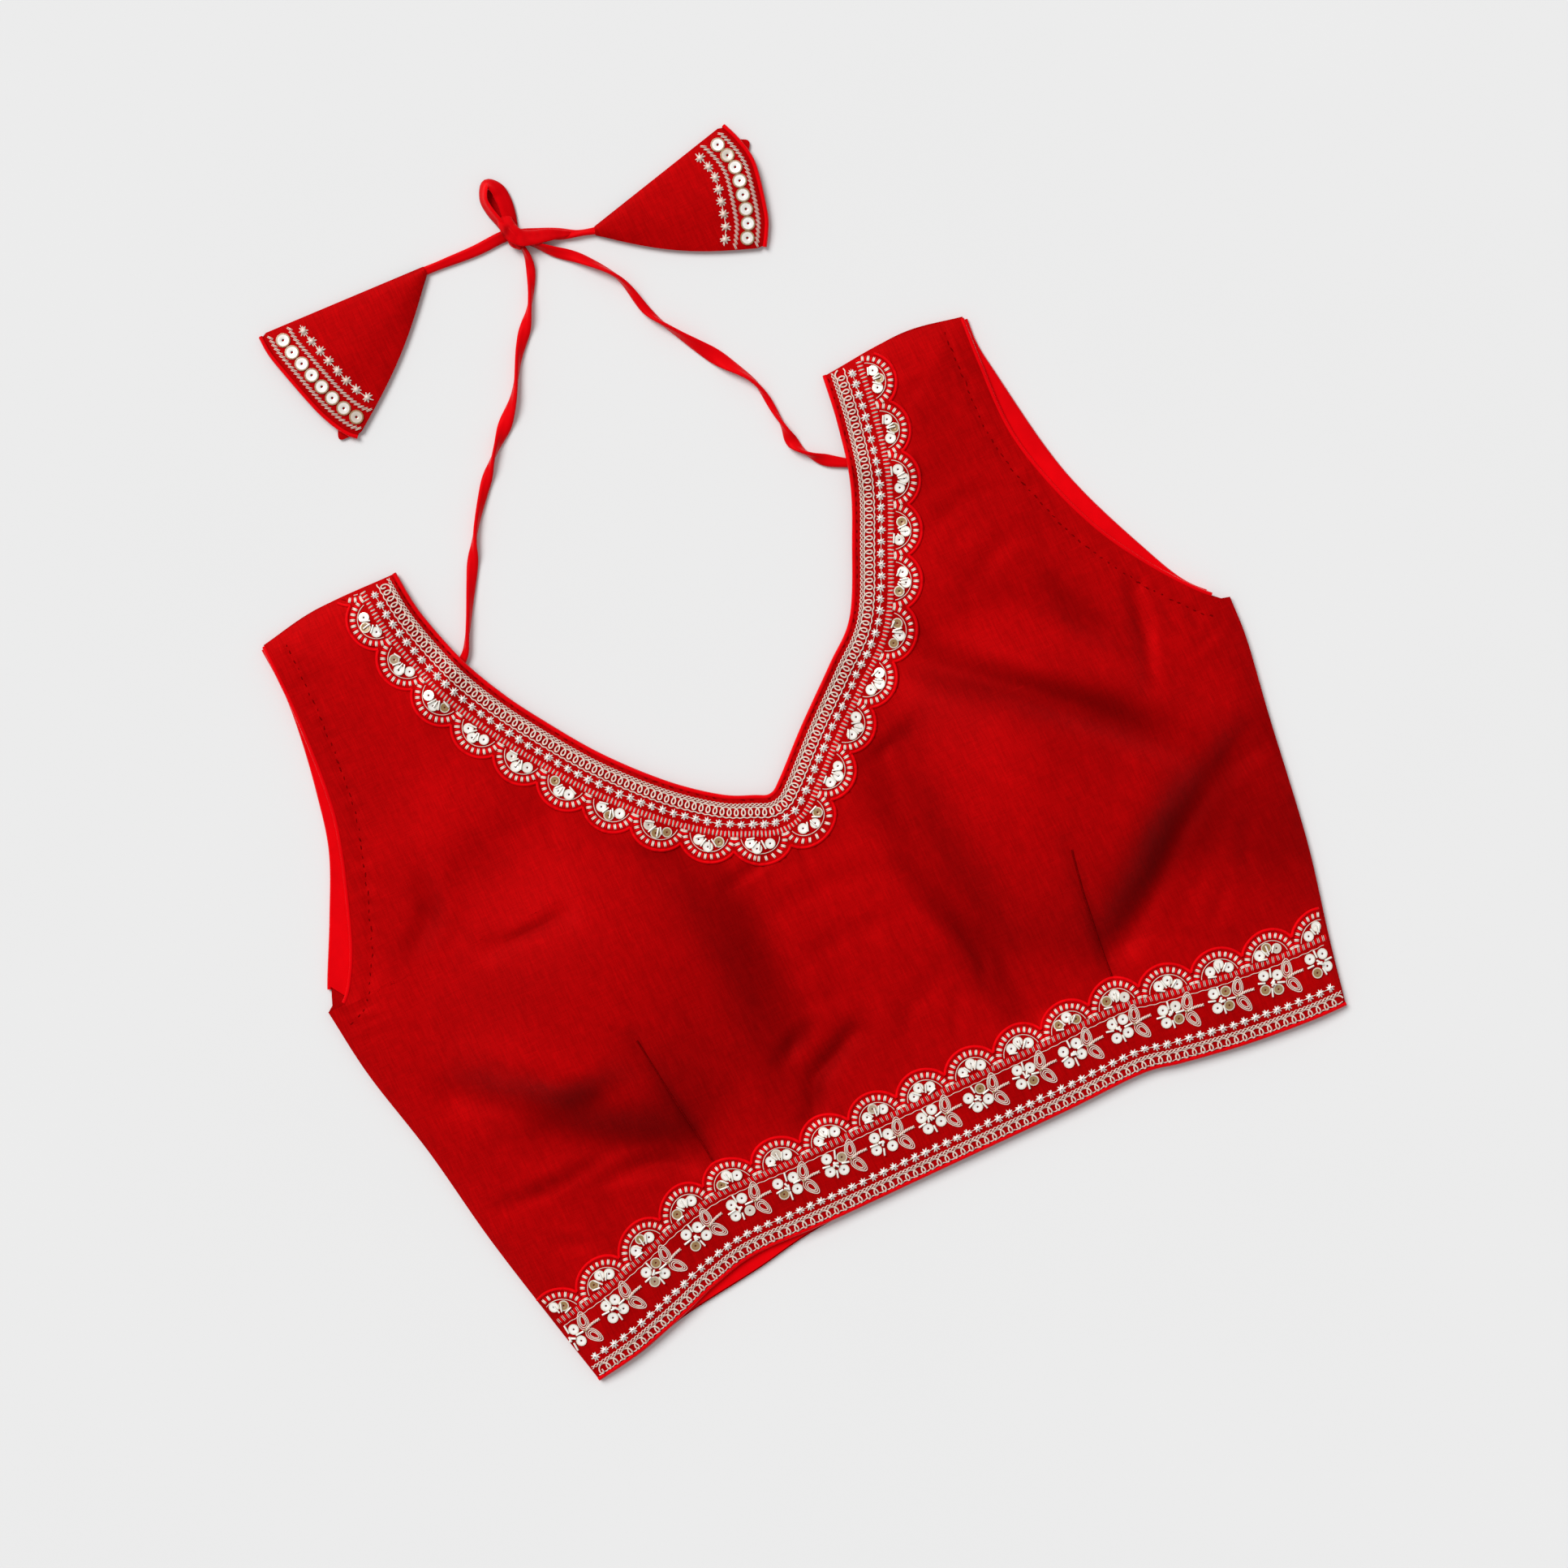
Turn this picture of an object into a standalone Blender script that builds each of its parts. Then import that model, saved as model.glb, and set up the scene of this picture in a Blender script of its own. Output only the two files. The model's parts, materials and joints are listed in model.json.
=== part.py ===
"""A sleeveless choli blouse laid flat on its back, front up, with its tie cords knotted above the neck.

Run it with: blender --background --python part.py

Pattern places are in millimetres, x across from the centre back and y up from the waist's level.
The part's own frame is in metres: +X across, +Y to the neck, +Z up from the table, with the
origin under the middle of the bodice.
"""

import math

import bmesh
import bpy
import numpy as np
from mathutils import Vector
from mathutils.bvhtree import BVHTree

MM = 0.001

# Middle of the bodice, cords left out, in pattern places
BODICE_MIDDLE = (2.5, 181.355)

# Walls, piping and facings
BACK_WALL = 1.0
FACING_WALL = 1.0
FRONT_WALL = 1.4
BORDER_WALL = 1.0
SEAM_GAP = 0.3
BORDER_GAP = 0.5
PIPING_RADIUS = 0.8
PIPING_WIDTH = 2 * PIPING_RADIUS + SEAM_GAP
FACING_WIDTH = 27.0
FACING_EDGE = 0.6
FACING_SHARES = (0.07, 0.92)
HEM_FACING = {"from_x": -152, "to_x": -56, "inset": 0.8, "deep": 26}
PLACKET = {"half": 10, "from_y": 16, "to_y": 176}

# Heights of the front's underside over the table
SEAM_LEVEL = 1.2
STRAP_RISE = 2.9
STRAP_REACH = 6.0
EDGE_DROP = 1.1
EDGE_REACH = 7.0
BODY_RISE = 3.0
BODY_REACH = 25.0
SOFT_FLOOR = 0.04

# Finished edges, piping included, from the left shoulder or side to the right one
NECK_EDGE = (
    (-112.5, 372), (-110, 350), (-102, 322), (-92, 300), (-80, 280), (-62, 254), (-40, 229.5),
    (-20, 213), (-6, 206), (1, 203.5), (8, 208), (28, 226), (52, 246), (70, 262), (86, 293),
    (97, 318), (103.5, 345), (107, 369),
)
FRONT_HEM = (
    (-189, -10), (-165, -6), (-140, 1), (-120, 7.5), (-97, 12), (-60, 11), (0, 10.5), (60, 10),
    (101, 10.5), (120, 7), (150, 2), (180, -1), (201.5, -2),
)
BACK_HEM = (
    (-189, -10), (-165, -6.5), (-140, 0), (-100, 5), (-65, 10.2), (0, 12.5), (101, 12.5),
    (150, 4.5), (201.5, -2),
)

# Edges of each half, from the bottom up and from the centre outwards
SIDE_SEAM = {
    "left": ((-189, -10), (-197, 25), (-207, 72), (-215, 120), (-225, 165), (-229.5, 200)),
    "right": ((201.5, -2), (208, 30), (218, 75), (227, 135), (233, 172), (234.5, 194)),
}
FRONT_ARMHOLE = {
    "left": (
        (-229.5, 200), (-220, 203), (-209, 220), (-200, 243), (-192, 267), (-187, 290),
        (-184, 330), (-184, 368),
    ),
    "right": (
        (234.5, 194), (224, 203), (208, 224), (193, 250), (182, 280), (176, 310), (177, 345),
        (178.5, 366),
    ),
}
BACK_ARMHOLE = {
    "left": (
        (-229.5, 200), (-224, 213), (-210, 240), (-197, 268), (-190.5, 295), (-186, 322),
        (-184, 345), (-185, 368),
    ),
    "right": (
        (234.5, 194), (219, 210), (207, 235), (194, 268), (187, 295), (181, 335), (179, 352),
        (180, 366),
    ),
}
SHOULDER = {
    "left": ((-112.5, 372), (-150, 372.5), (-184, 368)),
    "right": ((107, 369), (145, 371), (178.5, 366)),
}
BACK_NECK = {
    "left": ((0, 186), (-35, 204), (-70, 245), (-98, 288), (-115, 322), (-124, 372)),
    "right": ((0, 186), (35, 204), (70, 243), (93, 280), (110, 318), (119, 369.5)),
}

# Cups: the apex, how far each swells to the centre, the side, the neck and the waist
CUPS = (
    {"apex": (-110, 150), "inner": 74, "outer": 88, "up": 92, "down": 78, "height": 19},
    {"apex": (116, 150), "inner": 70, "outer": 92, "up": 92, "down": 84, "height": 20},
)
CUP_POWER = 1.6

# Folds and darts: a line of places, half the width, and how far the cloth rises or drops
FOLDS = (
    {"line": ((-192, 140), (-168, 126), (-148, 114), (-122, 112)), "width": 9, "rise": -3.0},
    {"line": ((-158, 104), (-132, 88), (-104, 70)), "width": 11, "rise": -4.0},
    {"line": ((-50, 196), (-44, 140), (-38, 92)), "width": 12, "rise": -3.0},
    {"line": ((-12, 87), (-26, 80), (-38, 74), (-46, 58)), "width": 6, "rise": -2.5},
    {"line": ((58, 232), (60, 150), (64, 100), (68, 60)), "width": 11, "rise": -3.5},
    {"line": ((82, 240), (125, 203), (165, 165), (184, 140)), "width": 12, "rise": -3.5},
    {"line": ((218, 130), (190, 122), (165, 108), (145, 90), (118, 72)), "width": 9, "rise": -4.5},
    {"line": ((-146, 194), (-110, 194)), "width": 6, "rise": -1.6},
    {"line": ((194, 216), (190, 196), (182, 172)), "width": 6, "rise": -1.6},
    {"line": ((-103.5, 130), (-101, 95), (-97.5, 58)), "width": 3.2, "rise": -1.6},
    {"line": ((114, 124), (110.5, 80), (108, 56)), "width": 3.2, "rise": -1.6},
    {"line": ((-124, 310), (-92, 328)), "width": 8, "rise": 2.4},
    {"line": ((122, 314), (91, 332)), "width": 8, "rise": 2.4},
)

# How finely the cloth is cut: from one share to another in so many steps
FRONT_COLUMNS = ((0.0, 0.45, 7), (0.45, 0.55, 4), (0.55, 0.93, 6), (0.93, 1.0, 2))
FRONT_BODY_ROWS = ((0.0, 1.0, 21),)
FRONT_STRAP_ROWS = ((0.0, 0.12, 3), (0.12, 1.0, 13))
BACK_COLUMNS = ((0.0, 1.0, 3),)
BACK_BODY_ROWS = ((0.0, 1.0, 6),)
BACK_STRAP_ROWS = ((0.0, 1.0, 13),)

# Scalloped borders: distances from the finished edge
BORDER_START = 2.6
NECK_BAND = 18.5
NECK_SCALLOPS = 20
NECK_FIRST_CUSP = 2.6
NECK_SCALLOP_RISE = 12.4
HEM_BAND = 36.5
HEM_PITCH = 24.7
HEM_FIRST_CUSP = -204.3
HEM_LEAN = {"left": -0.24, "right": 0.19}
HEM_SCALLOP_RISE = 11.5
BORDER_TRIM = 2.0
SCALLOP_LEAST = 0.7
SCALLOP_STEPS = 6
LAY_REACH = 3.5
HIGH_ABOVE = 500.0

# Tie cords: routes at rest, each from where it is sewn, or from the knot, to its far end
CORD_RADIUS = 1.8
CORD_LEVEL = CORD_RADIUS + 0.1
CORD_STEP = 8.5
TIGHT_STEP = 4.0
DORI_LEFT = (
    (-112.3, 316.9), (-101, 322.5), (-94.2, 332.5), (-84.2, 350), (-71.7, 371.7), (-60, 387.5),
    (-49.2, 400), (-36.7, 412.5), (-27, 423), (-16.4, 439.5), (-3.6, 455.9), (3.6, 468.5),
    (6.6, 478), (6.4, 486),
)
DORI_RIGHT = (
    (110.2, 322.4), (100, 327.5), (88.3, 335.8), (81.5, 346), (80.2, 360), (77.5, 379.2),
    (68, 395.5), (55, 415.5), (46.5, 431), (41, 451), (29.1, 466.8), (18.5, 476), (11, 483.5),
    (6, 487.5),
)
TAIL_LEFT = ((6, 491.5), (-0.9, 492.3), (-14, 491.9), (-29, 492.8), (-39.0, 493.5))
TAIL_RIGHT = ((4, 492), (10.9, 489.6), (21.8, 483.6), (30.9, 479.2), (39.9, 476.2))
BOW_LOOP = (
    (3.4, 492), (1.4, 499.2), (-0.3, 506), (-0.3, 512), (3.6, 517.6), (8, 513.5), (9, 507),
    (8, 499.5), (6.4, 492),
)
KNOT_MIDDLE = (5.2, 489.6, 3.4)
KNOT_HALF = (4.6, 7.4, 3.3)
KNOT_CLEARANCE = 0.9

# Tassel cones: the tip, the mouth from its upper to its lower corner, and the lower side's bulge
TASSELS = {
    "left": {
        "tip": ((-39.4, 495.6), (-39.4, 491.5)),
        "mouth": (
            (-121.4, 499.4), (-120.9, 490.5), (-118.9, 481.4), (-113, 460), (-109, 449.2),
            (-104.4, 441), (-100.3, 437.2),
        ),
        "bulge": 3.2,
    },
    "right": {
        "tip": ((40.9, 478.1), (39.6, 474.2)),
        "mouth": (
            (114.6, 495.0), (117.6, 486.8), (119.7, 477.7), (119.4, 468.6), (115, 449.2),
            (111.4, 441.2), (107.6, 435.2),
        ),
        "bulge": 4.2,
    },
}
TASSEL_WALL = 1.0
TASSEL_SIDE = 2.3
TASSEL_TIP_HEIGHT = 3.4
TASSEL_CROWN = 4.4
TASSEL_ROUND = 0.7
TASSEL_ROWS = 8
TASSEL_ACROSS = 8
TASSEL_HOLLOW_FROM = 0.2
TASSEL_PIPING = 0.7

# Finishes: colour, roughness
SHELL_RED = ((0.42, 0.002, 0.004), 0.5)
LINING_RED = ((0.62, 0.002, 0.01), 0.4)
EMBROIDERY_GOLD = ((0.55, 0.30, 0.16), 0.4)


def new_material(name, finish):
    colour, roughness = finish
    material = bpy.data.materials.new(name)
    material.use_nodes = True
    shader = material.node_tree.nodes["Principled BSDF"]
    shader.inputs["Base Color"].default_value = (*colour, 1.0)
    shader.inputs["Roughness"].default_value = roughness
    return material


def place(x, y, z):
    """A pattern place in the part's frame, in metres."""
    return Vector(((x - BODICE_MIDDLE[0]) * MM, (y - BODICE_MIDDLE[1]) * MM, z * MM))


# Lines in the pattern's plane

def smooth_line(points, per_span=24):
    """A dense smooth line through the points."""
    spots = np.asarray(points, float)
    padded = np.vstack((2 * spots[0] - spots[1], spots, 2 * spots[-1] - spots[-2]))
    line = []
    for before, start, end, after in zip(padded, padded[1:], padded[2:], padded[3:]):
        bend = 2 * before - 5 * start + 4 * end - after
        twist = 3 * start - before - 3 * end + after
        for step in range(per_span):
            t = step / per_span
            line.append(0.5 * (2 * start + (end - before) * t + bend * t ** 2 + twist * t ** 3))
    line.append(spots[-1])
    return np.array(line)


def lengths_along(line):
    steps = np.linalg.norm(np.diff(line, axis=0), axis=1)
    return np.concatenate(([0.0], np.cumsum(steps)))


def at_shares(line, shares):
    """Points of the line at shares, 0 to 1, of its length."""
    along = lengths_along(line)
    wanted = np.asarray(shares) * along[-1]
    return np.stack([np.interp(wanted, along, column) for column in line.T], axis=1)


def moved_right(line, distance):
    """The line moved to the right of its direction, with mitred corners."""
    steps = np.diff(line, axis=0)
    steps = steps / np.linalg.norm(steps, axis=1, keepdims=True)
    before = np.vstack((steps[:1], steps))
    after = np.vstack((steps, steps[-1:]))
    ahead = before + after
    ahead = ahead / np.linalg.norm(ahead, axis=1, keepdims=True)
    mitre = distance / np.maximum(np.sum(ahead * after, axis=1), 0.5)
    right = np.stack((ahead[:, 1], -ahead[:, 0]), axis=1)
    return line + right * mitre[:, None]


def ends_moved(line, start, end):
    """The line with its ends brought to two places, and the rest carried along."""
    share = lengths_along(line)[:, None] / lengths_along(line)[-1]
    return line + (1 - share) * (start - line[0]) + share * (end - line[-1])


def distance_to(line, x, y):
    """How far places are from a line of straight runs."""
    nearest = np.full(np.shape(x), np.inf)
    for (ax, ay), (bx, by) in zip(line[:-1], line[1:]):
        run_x = bx - ax
        run_y = by - ay
        share = ((x - ax) * run_x + (y - ay) * run_y) / (run_x ** 2 + run_y ** 2)
        share = np.clip(share, 0.0, 1.0)
        nearest = np.minimum(nearest, np.hypot(x - ax - share * run_x, y - ay - share * run_y))
    return nearest


def shares_of(spans):
    shares = [spans[0][0]]
    for start, end, steps in spans:
        shares += [start + (end - start) * (k + 1) / steps for k in range(steps)]
    return np.array(shares)


# The cloth's cut edges, set in from the finished edges by the piping

NECK_LINE = smooth_line(NECK_EDGE)
NECK_CUT = moved_right(NECK_LINE, PIPING_WIDTH)
NECK_VALLEY = int(np.argmin(NECK_CUT[:, 1]))


def half_of(line, middle, side):
    return line[middle:] if side == "right" else line[:middle + 1][::-1]


def half_edges(side, hem, hem_inset, armhole, neck, valley):
    """The edges of one half panel, each meeting the next: hem, seam, armhole, shoulder, neck."""
    outward = 1 if side == "right" else -1
    hem_cut = moved_right(smooth_line(hem), -hem_inset)
    middle = int(np.argmin(np.abs(hem_cut[:, 0] - valley[0])))
    low = half_of(hem_cut, middle, side)
    low = ends_moved(low, np.array((valley[0], low[0, 1])), low[-1])
    arm = moved_right(smooth_line(armhole[side]), -outward * PIPING_WIDTH)
    arm = np.vstack((armhole[side][0], arm[2:]))
    seam = smooth_line(SIDE_SEAM[side])
    seam = ends_moved(seam, low[-1], arm[0])
    shoulder = ends_moved(smooth_line(SHOULDER[side]), neck[-1], arm[-1])
    return low, seam, arm, shoulder, neck


def blend_edges(low, high, inner, outer, columns, rows):
    """Rows of places between four edges that meet at their ends."""
    u = columns[None, :, None]
    v = rows[:, None, None]
    bottom = at_shares(low, columns)[None]
    top = at_shares(high, columns)[None]
    left = at_shares(inner, rows)[:, None]
    right = at_shares(outer, rows)[:, None]
    corners = (
        (1 - u) * (1 - v) * bottom[:, :1] + u * (1 - v) * bottom[:, -1:]
        + (1 - u) * v * top[:, :1] + u * v * top[:, -1:]
    )
    return (1 - v) * bottom + v * top + (1 - u) * left + u * right - corners


def panel_patches(edges, columns, body_rows, strap_rows):
    """The body below the underarm and the strap above it, as rows of places."""
    low, seam, arm, shoulder, neck = edges
    centre = np.stack((low[0], neck[0]))
    level = np.stack((neck[0], seam[-1]))
    body = blend_edges(low, level, centre, seam, columns, body_rows)
    strap = blend_edges(level, shoulder, neck, arm, columns, strap_rows)
    return body, strap


FRONT_EDGES = {
    side: half_edges(
        side, FRONT_HEM, PIPING_WIDTH, FRONT_ARMHOLE, half_of(NECK_CUT, NECK_VALLEY, side),
        NECK_CUT[NECK_VALLEY],
    )
    for side in ("left", "right")
}


# Height of the front's underside

def cup_rise(cup, x, y):
    across = x - cup["apex"][0]
    up = y - cup["apex"][1]
    to_centre = np.sign(-cup["apex"][0])
    width = np.where(across * to_centre > 0, cup["inner"], cup["outer"])
    length = np.where(up > 0, cup["up"], cup["down"])
    reach = np.clip(1 - (across / width) ** 2 - (up / length) ** 2, 0.0, 1.0)
    return cup["height"] * reach ** CUP_POWER


def fold_rise(fold, x, y):
    distance = distance_to(np.asarray(fold["line"], float), x, y)
    return fold["rise"] * np.exp(-(distance / fold["width"]) ** 2)


def front_underside(x, y):
    """Millimetres over the table at pattern places."""
    edges = [at_shares(line, np.linspace(0, 1, 25)) for half in FRONT_EDGES.values() for line in half]
    low_left, seam_left, arm_left, top_left, neck_left = edges[:5]
    low_right, seam_right, arm_right, top_right, neck_right = edges[5:]
    seams = [distance_to(line, x, y) for line in (seam_left, top_left, seam_right, top_right)]
    open_lines = (low_left, arm_left, neck_left, low_right, arm_right, neck_right)
    opens = [distance_to(line, x, y) for line in open_lines]
    from_seam = np.minimum.reduce(seams)
    from_open = np.minimum.reduce(opens)
    lift = 1 - np.exp(-from_seam / STRAP_REACH)
    inside = 1 - np.exp(-(np.minimum(from_seam, from_open) / BODY_REACH) ** 2)
    rise = lift * (STRAP_RISE - EDGE_DROP * np.exp(-from_open / EDGE_REACH)) + BODY_RISE * inside
    rise = rise + sum(cup_rise(cup, x, y) for cup in CUPS)
    rise = rise + lift * sum(fold_rise(fold, x, y) for fold in FOLDS)
    return SEAM_LEVEL + (rise + np.sqrt(rise ** 2 + SOFT_FLOOR)) / 2


# Solids

def finish(name, bm, material):
    bmesh.ops.recalc_face_normals(bm, faces=bm.faces[:])
    mesh = bpy.data.meshes.new(name)
    bm.to_mesh(mesh)
    bm.free()
    mesh.materials.append(material)
    mesh.shade_smooth()
    mesh.set_sharp_from_angle(angle=math.radians(40))
    piece = bpy.data.objects.new(name, mesh)
    bpy.context.scene.collection.objects.link(piece)
    return piece


def add_rows(bm, rows):
    """Quads between rows of (x, y, z) pattern places."""
    grid = [[bm.verts.new(place(*spot)) for spot in row] for row in rows]
    for low, high in zip(grid, grid[1:]):
        for k in range(len(low) - 1):
            bm.faces.new((low[k], low[k + 1], high[k + 1], high[k]))


def cloth(name, patches, wall, material):
    """A closed wall of cloth: patches joined along shared edges, raised by the wall."""
    bm = bmesh.new()
    for rows in patches:
        add_rows(bm, rows)
    bmesh.ops.remove_doubles(bm, verts=bm.verts[:], dist=1e-6)
    raised = bmesh.ops.extrude_face_region(bm, geom=bm.faces[:])["geom"]
    raised = [item for item in raised if isinstance(item, bmesh.types.BMVert)]
    bmesh.ops.translate(bm, verts=raised, vec=(0, 0, wall * MM))
    return finish(name, bm, material)


def at_height(rows, height):
    """Rows of (x, y) given one height, or a height each."""
    level = height(rows[..., 0], rows[..., 1]) if callable(height) else height
    return np.concatenate((rows, np.broadcast_to(level, rows.shape[:2])[..., None]), axis=2)


def tube(name, spots, radius, material, resolution=2):
    """A round tube along straight runs between (x, y, z) pattern places."""
    curve = bpy.data.curves.new(name, "CURVE")
    curve.dimensions = "3D"
    curve.bevel_depth = radius * MM
    curve.bevel_resolution = resolution
    curve.use_fill_caps = True
    spline = curve.splines.new("POLY")
    spline.points.add(len(spots) - 1)
    for point, spot in zip(spline.points, spots):
        point.co = (*place(*spot), 1.0)
    curve.materials.append(material)
    piece = bpy.data.objects.new(name, curve)
    bpy.context.scene.collection.objects.link(piece)
    return piece


# The bodice

def make_front(material):
    columns = shares_of(FRONT_COLUMNS)
    body_rows = shares_of(FRONT_BODY_ROWS)
    strap_rows = shares_of(FRONT_STRAP_ROWS)
    patches = []
    for edges in FRONT_EDGES.values():
        for rows in panel_patches(edges, columns, body_rows, strap_rows):
            patches.append(at_height(rows, front_underside))
    return cloth("front_panel", patches, FRONT_WALL, material)


def back_edges(side):
    outward = 1 if side == "right" else -1
    neck = smooth_line(BACK_NECK[side])
    neck = neck + (outward * SEAM_GAP / 2, 0)
    return half_edges(side, BACK_HEM, 0.0, BACK_ARMHOLE, neck, neck[0])


def make_back(side, material):
    rows = panel_patches(
        back_edges(side), shares_of(BACK_COLUMNS), shares_of(BACK_BODY_ROWS),
        shares_of(BACK_STRAP_ROWS),
    )
    return cloth(f"back_{side}_panel", [at_height(patch, 0.0) for patch in rows], BACK_WALL, material)


def make_placket(material):
    half = PLACKET["half"]
    across = [[-half, y] for y in (PLACKET["from_y"], PLACKET["to_y"])]
    rows = np.array([[start, [half, start[1]]] for start in across], float)
    return cloth("back_placket", [at_height(rows, BACK_WALL + SEAM_GAP)], FACING_WALL, material)


def make_armhole_facing(side, material):
    outward = 1 if side == "right" else -1
    arm = back_edges(side)[2]
    shares = np.linspace(*FACING_SHARES, 14)
    outer = at_shares(moved_right(at_shares(arm, np.linspace(0, 1, 30)), -outward * FACING_EDGE), shares)
    inner = at_shares(moved_right(at_shares(arm, np.linspace(0, 1, 30)), -outward * FACING_WIDTH), shares)
    rows = np.stack((inner, outer))
    level = BACK_WALL + SEAM_GAP
    return cloth(f"armhole_facing_{side}", [at_height(rows, level)], FACING_WALL, material)


def make_hem_facing(material):
    hem = smooth_line(BACK_HEM)
    shown = hem[(hem[:, 0] >= HEM_FACING["from_x"]) & (hem[:, 0] <= HEM_FACING["to_x"])]
    shown = at_shares(shown, np.linspace(0, 1, 9))
    rows = np.stack((shown + (0, HEM_FACING["inset"]), shown + (0, HEM_FACING["deep"])))
    level = BACK_WALL + SEAM_GAP
    return cloth("back_hem_facing", [at_height(rows, level)], FACING_WALL, material)


# Piping beside the cut edges

def piping_beside(name, edge, rightward, material, level=None):
    """A tube along a cut edge, moved off it to the right (or the left, with a minus)."""
    middle = moved_right(edge, rightward * (SEAM_GAP + PIPING_RADIUS))
    if level is None:
        level = front_underside(edge[:, 0], edge[:, 1]) + FRONT_WALL / 2
    spots = np.column_stack((middle, np.broadcast_to(level, len(middle))))
    return tube(name, spots, PIPING_RADIUS, material, resolution=1)


def make_pipings(material):
    strap_rows = shares_of(FRONT_STRAP_ROWS)
    columns = shares_of(FRONT_COLUMNS)
    necks = {side: at_shares(edges[4], strap_rows) for side, edges in FRONT_EDGES.items()}
    hems = {side: at_shares(edges[0], columns) for side, edges in FRONT_EDGES.items()}
    neck = np.vstack((necks["left"][::-1], necks["right"][1:]))
    hem = np.vstack((hems["left"][::-1], hems["right"][1:]))
    piping_beside("neck_piping", neck, -1, material)
    piping_beside("hem_piping", hem, 1, material)
    for side, edges in FRONT_EDGES.items():
        outward = 1 if side == "right" else -1
        front = at_shares(edges[2], strap_rows)[2:]
        back = at_shares(back_edges(side)[2], shares_of(BACK_STRAP_ROWS))[2:-1]
        piping_beside(f"front_armhole_piping_{side}", front, outward, material)
        piping_beside(f"back_armhole_piping_{side}", back, outward, material, PIPING_RADIUS + 0.05)


# Scalloped borders, laid on the front's own surface

def top_of(piece):
    """The height that trim needs at a place to clear the piece's top there and just beside it."""
    bm = bmesh.new()
    bm.from_mesh(piece.data)
    tree = BVHTree.FromBMesh(bm)
    bm.free()
    beside = [(0, 0), (LAY_REACH, 0), (-LAY_REACH, 0), (0, LAY_REACH), (0, -LAY_REACH)]

    def highest(x, y):
        starts = [place(x + across, y + up, HIGH_ABOVE) for across, up in beside]
        hits = [tree.ray_cast(start, Vector((0, 0, -1)))[0] for start in starts]
        return max(hit.z for hit in hits if hit is not None) / MM

    return np.vectorize(highest)


def scallop_columns(first_cusp, pitch, tallest, start, end):
    """Distances along a border with every cusp among them, and the rise at each."""
    step = pitch / SCALLOP_STEPS
    along = first_cusp + step * np.arange(-SCALLOP_STEPS, int((end - first_cusp) / step) + 2)
    along = along[(along > start + step / 3) & (along < end - step / 3)]
    along = np.concatenate(([start], along, [end]))
    turn = 2 * (((along - first_cusp) / pitch) % 1.0) - 1
    return along, np.maximum(tallest * np.sqrt(np.clip(1 - turn ** 2, 0, 1)), SCALLOP_LEAST)


def border_rows(near, outward, band, rise):
    """Rows from the edge to the scallops: near places, one outward step each, and the rises."""
    distances = (BORDER_START, 0.5 * (BORDER_START + band), band, band + rise)
    return np.stack([near + outward * np.reshape(far, (-1, 1)) for far in distances])


def make_neck_border(top, material):
    base = moved_right(NECK_LINE, NECK_BAND)
    along = lengths_along(base)
    pitch = along[-1] / NECK_SCALLOPS
    wanted, rise = scallop_columns(
        NECK_FIRST_CUSP, pitch, NECK_SCALLOP_RISE, BORDER_TRIM, along[-1] - BORDER_TRIM
    )
    near = np.stack([np.interp(wanted, along, column) for column in NECK_LINE.T], axis=1)
    far = np.stack([np.interp(wanted, along, column) for column in base.T], axis=1)
    rows = border_rows(near, (far - near) / NECK_BAND, NECK_BAND, rise)
    bottom = top(rows[..., 0], rows[..., 1]) + BORDER_GAP
    return cloth("neck_border", [at_height(rows, bottom)], BORDER_WALL, material)


def make_hem_border(top, material):
    hem = smooth_line(FRONT_HEM)
    share = (hem[:, 0] - hem[0, 0]) / (hem[-1, 0] - hem[0, 0])
    lean = HEM_LEAN["left"] + (HEM_LEAN["right"] - HEM_LEAN["left"]) * share
    upward = np.stack((lean, np.ones(len(hem))), axis=1)
    base_x = hem[:, 0] + lean * HEM_BAND
    wanted, rise = scallop_columns(
        HEM_FIRST_CUSP, HEM_PITCH, HEM_SCALLOP_RISE, base_x[0] + BORDER_TRIM,
        base_x[-1] - BORDER_TRIM,
    )
    near = np.stack([np.interp(wanted, base_x, column) for column in hem.T], axis=1)
    step = np.stack([np.interp(wanted, base_x, column) for column in upward.T], axis=1)
    rows = border_rows(near, step, HEM_BAND, rise)
    bottom = top(rows[..., 0], rows[..., 1]) + BORDER_GAP
    return cloth("hem_border", [at_height(rows, bottom)], BORDER_WALL, material)


# Tie cords and their knot

def clear_of_knot(line):
    """The stretch of a cord's line that lies outside the knot, with a seam's gap."""
    spots = np.column_stack((line, np.full(len(line), CORD_LEVEL)))
    reach = np.array(KNOT_HALF) + KNOT_CLEARANCE
    outside = np.sum(((spots - np.array(KNOT_MIDDLE)) / reach) ** 2, axis=1) > 1
    return spots[outside]


def make_cord(name, route, step, material):
    spots = clear_of_knot(smooth_line(route, per_span=60))
    steps = max(2, round(lengths_along(spots)[-1] / step))
    return tube(name, at_shares(spots, np.linspace(0, 1, steps + 1)), CORD_RADIUS, material)


def make_knot(material):
    bm = bmesh.new()
    bmesh.ops.create_uvsphere(bm, u_segments=14, v_segments=9, radius=1.0)
    bmesh.ops.scale(bm, verts=bm.verts[:], vec=[half * MM for half in KNOT_HALF])
    bmesh.ops.translate(bm, verts=bm.verts[:], vec=place(*KNOT_MIDDLE))
    return finish("dori_knot", bm, material)


# Tassel cones

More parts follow.
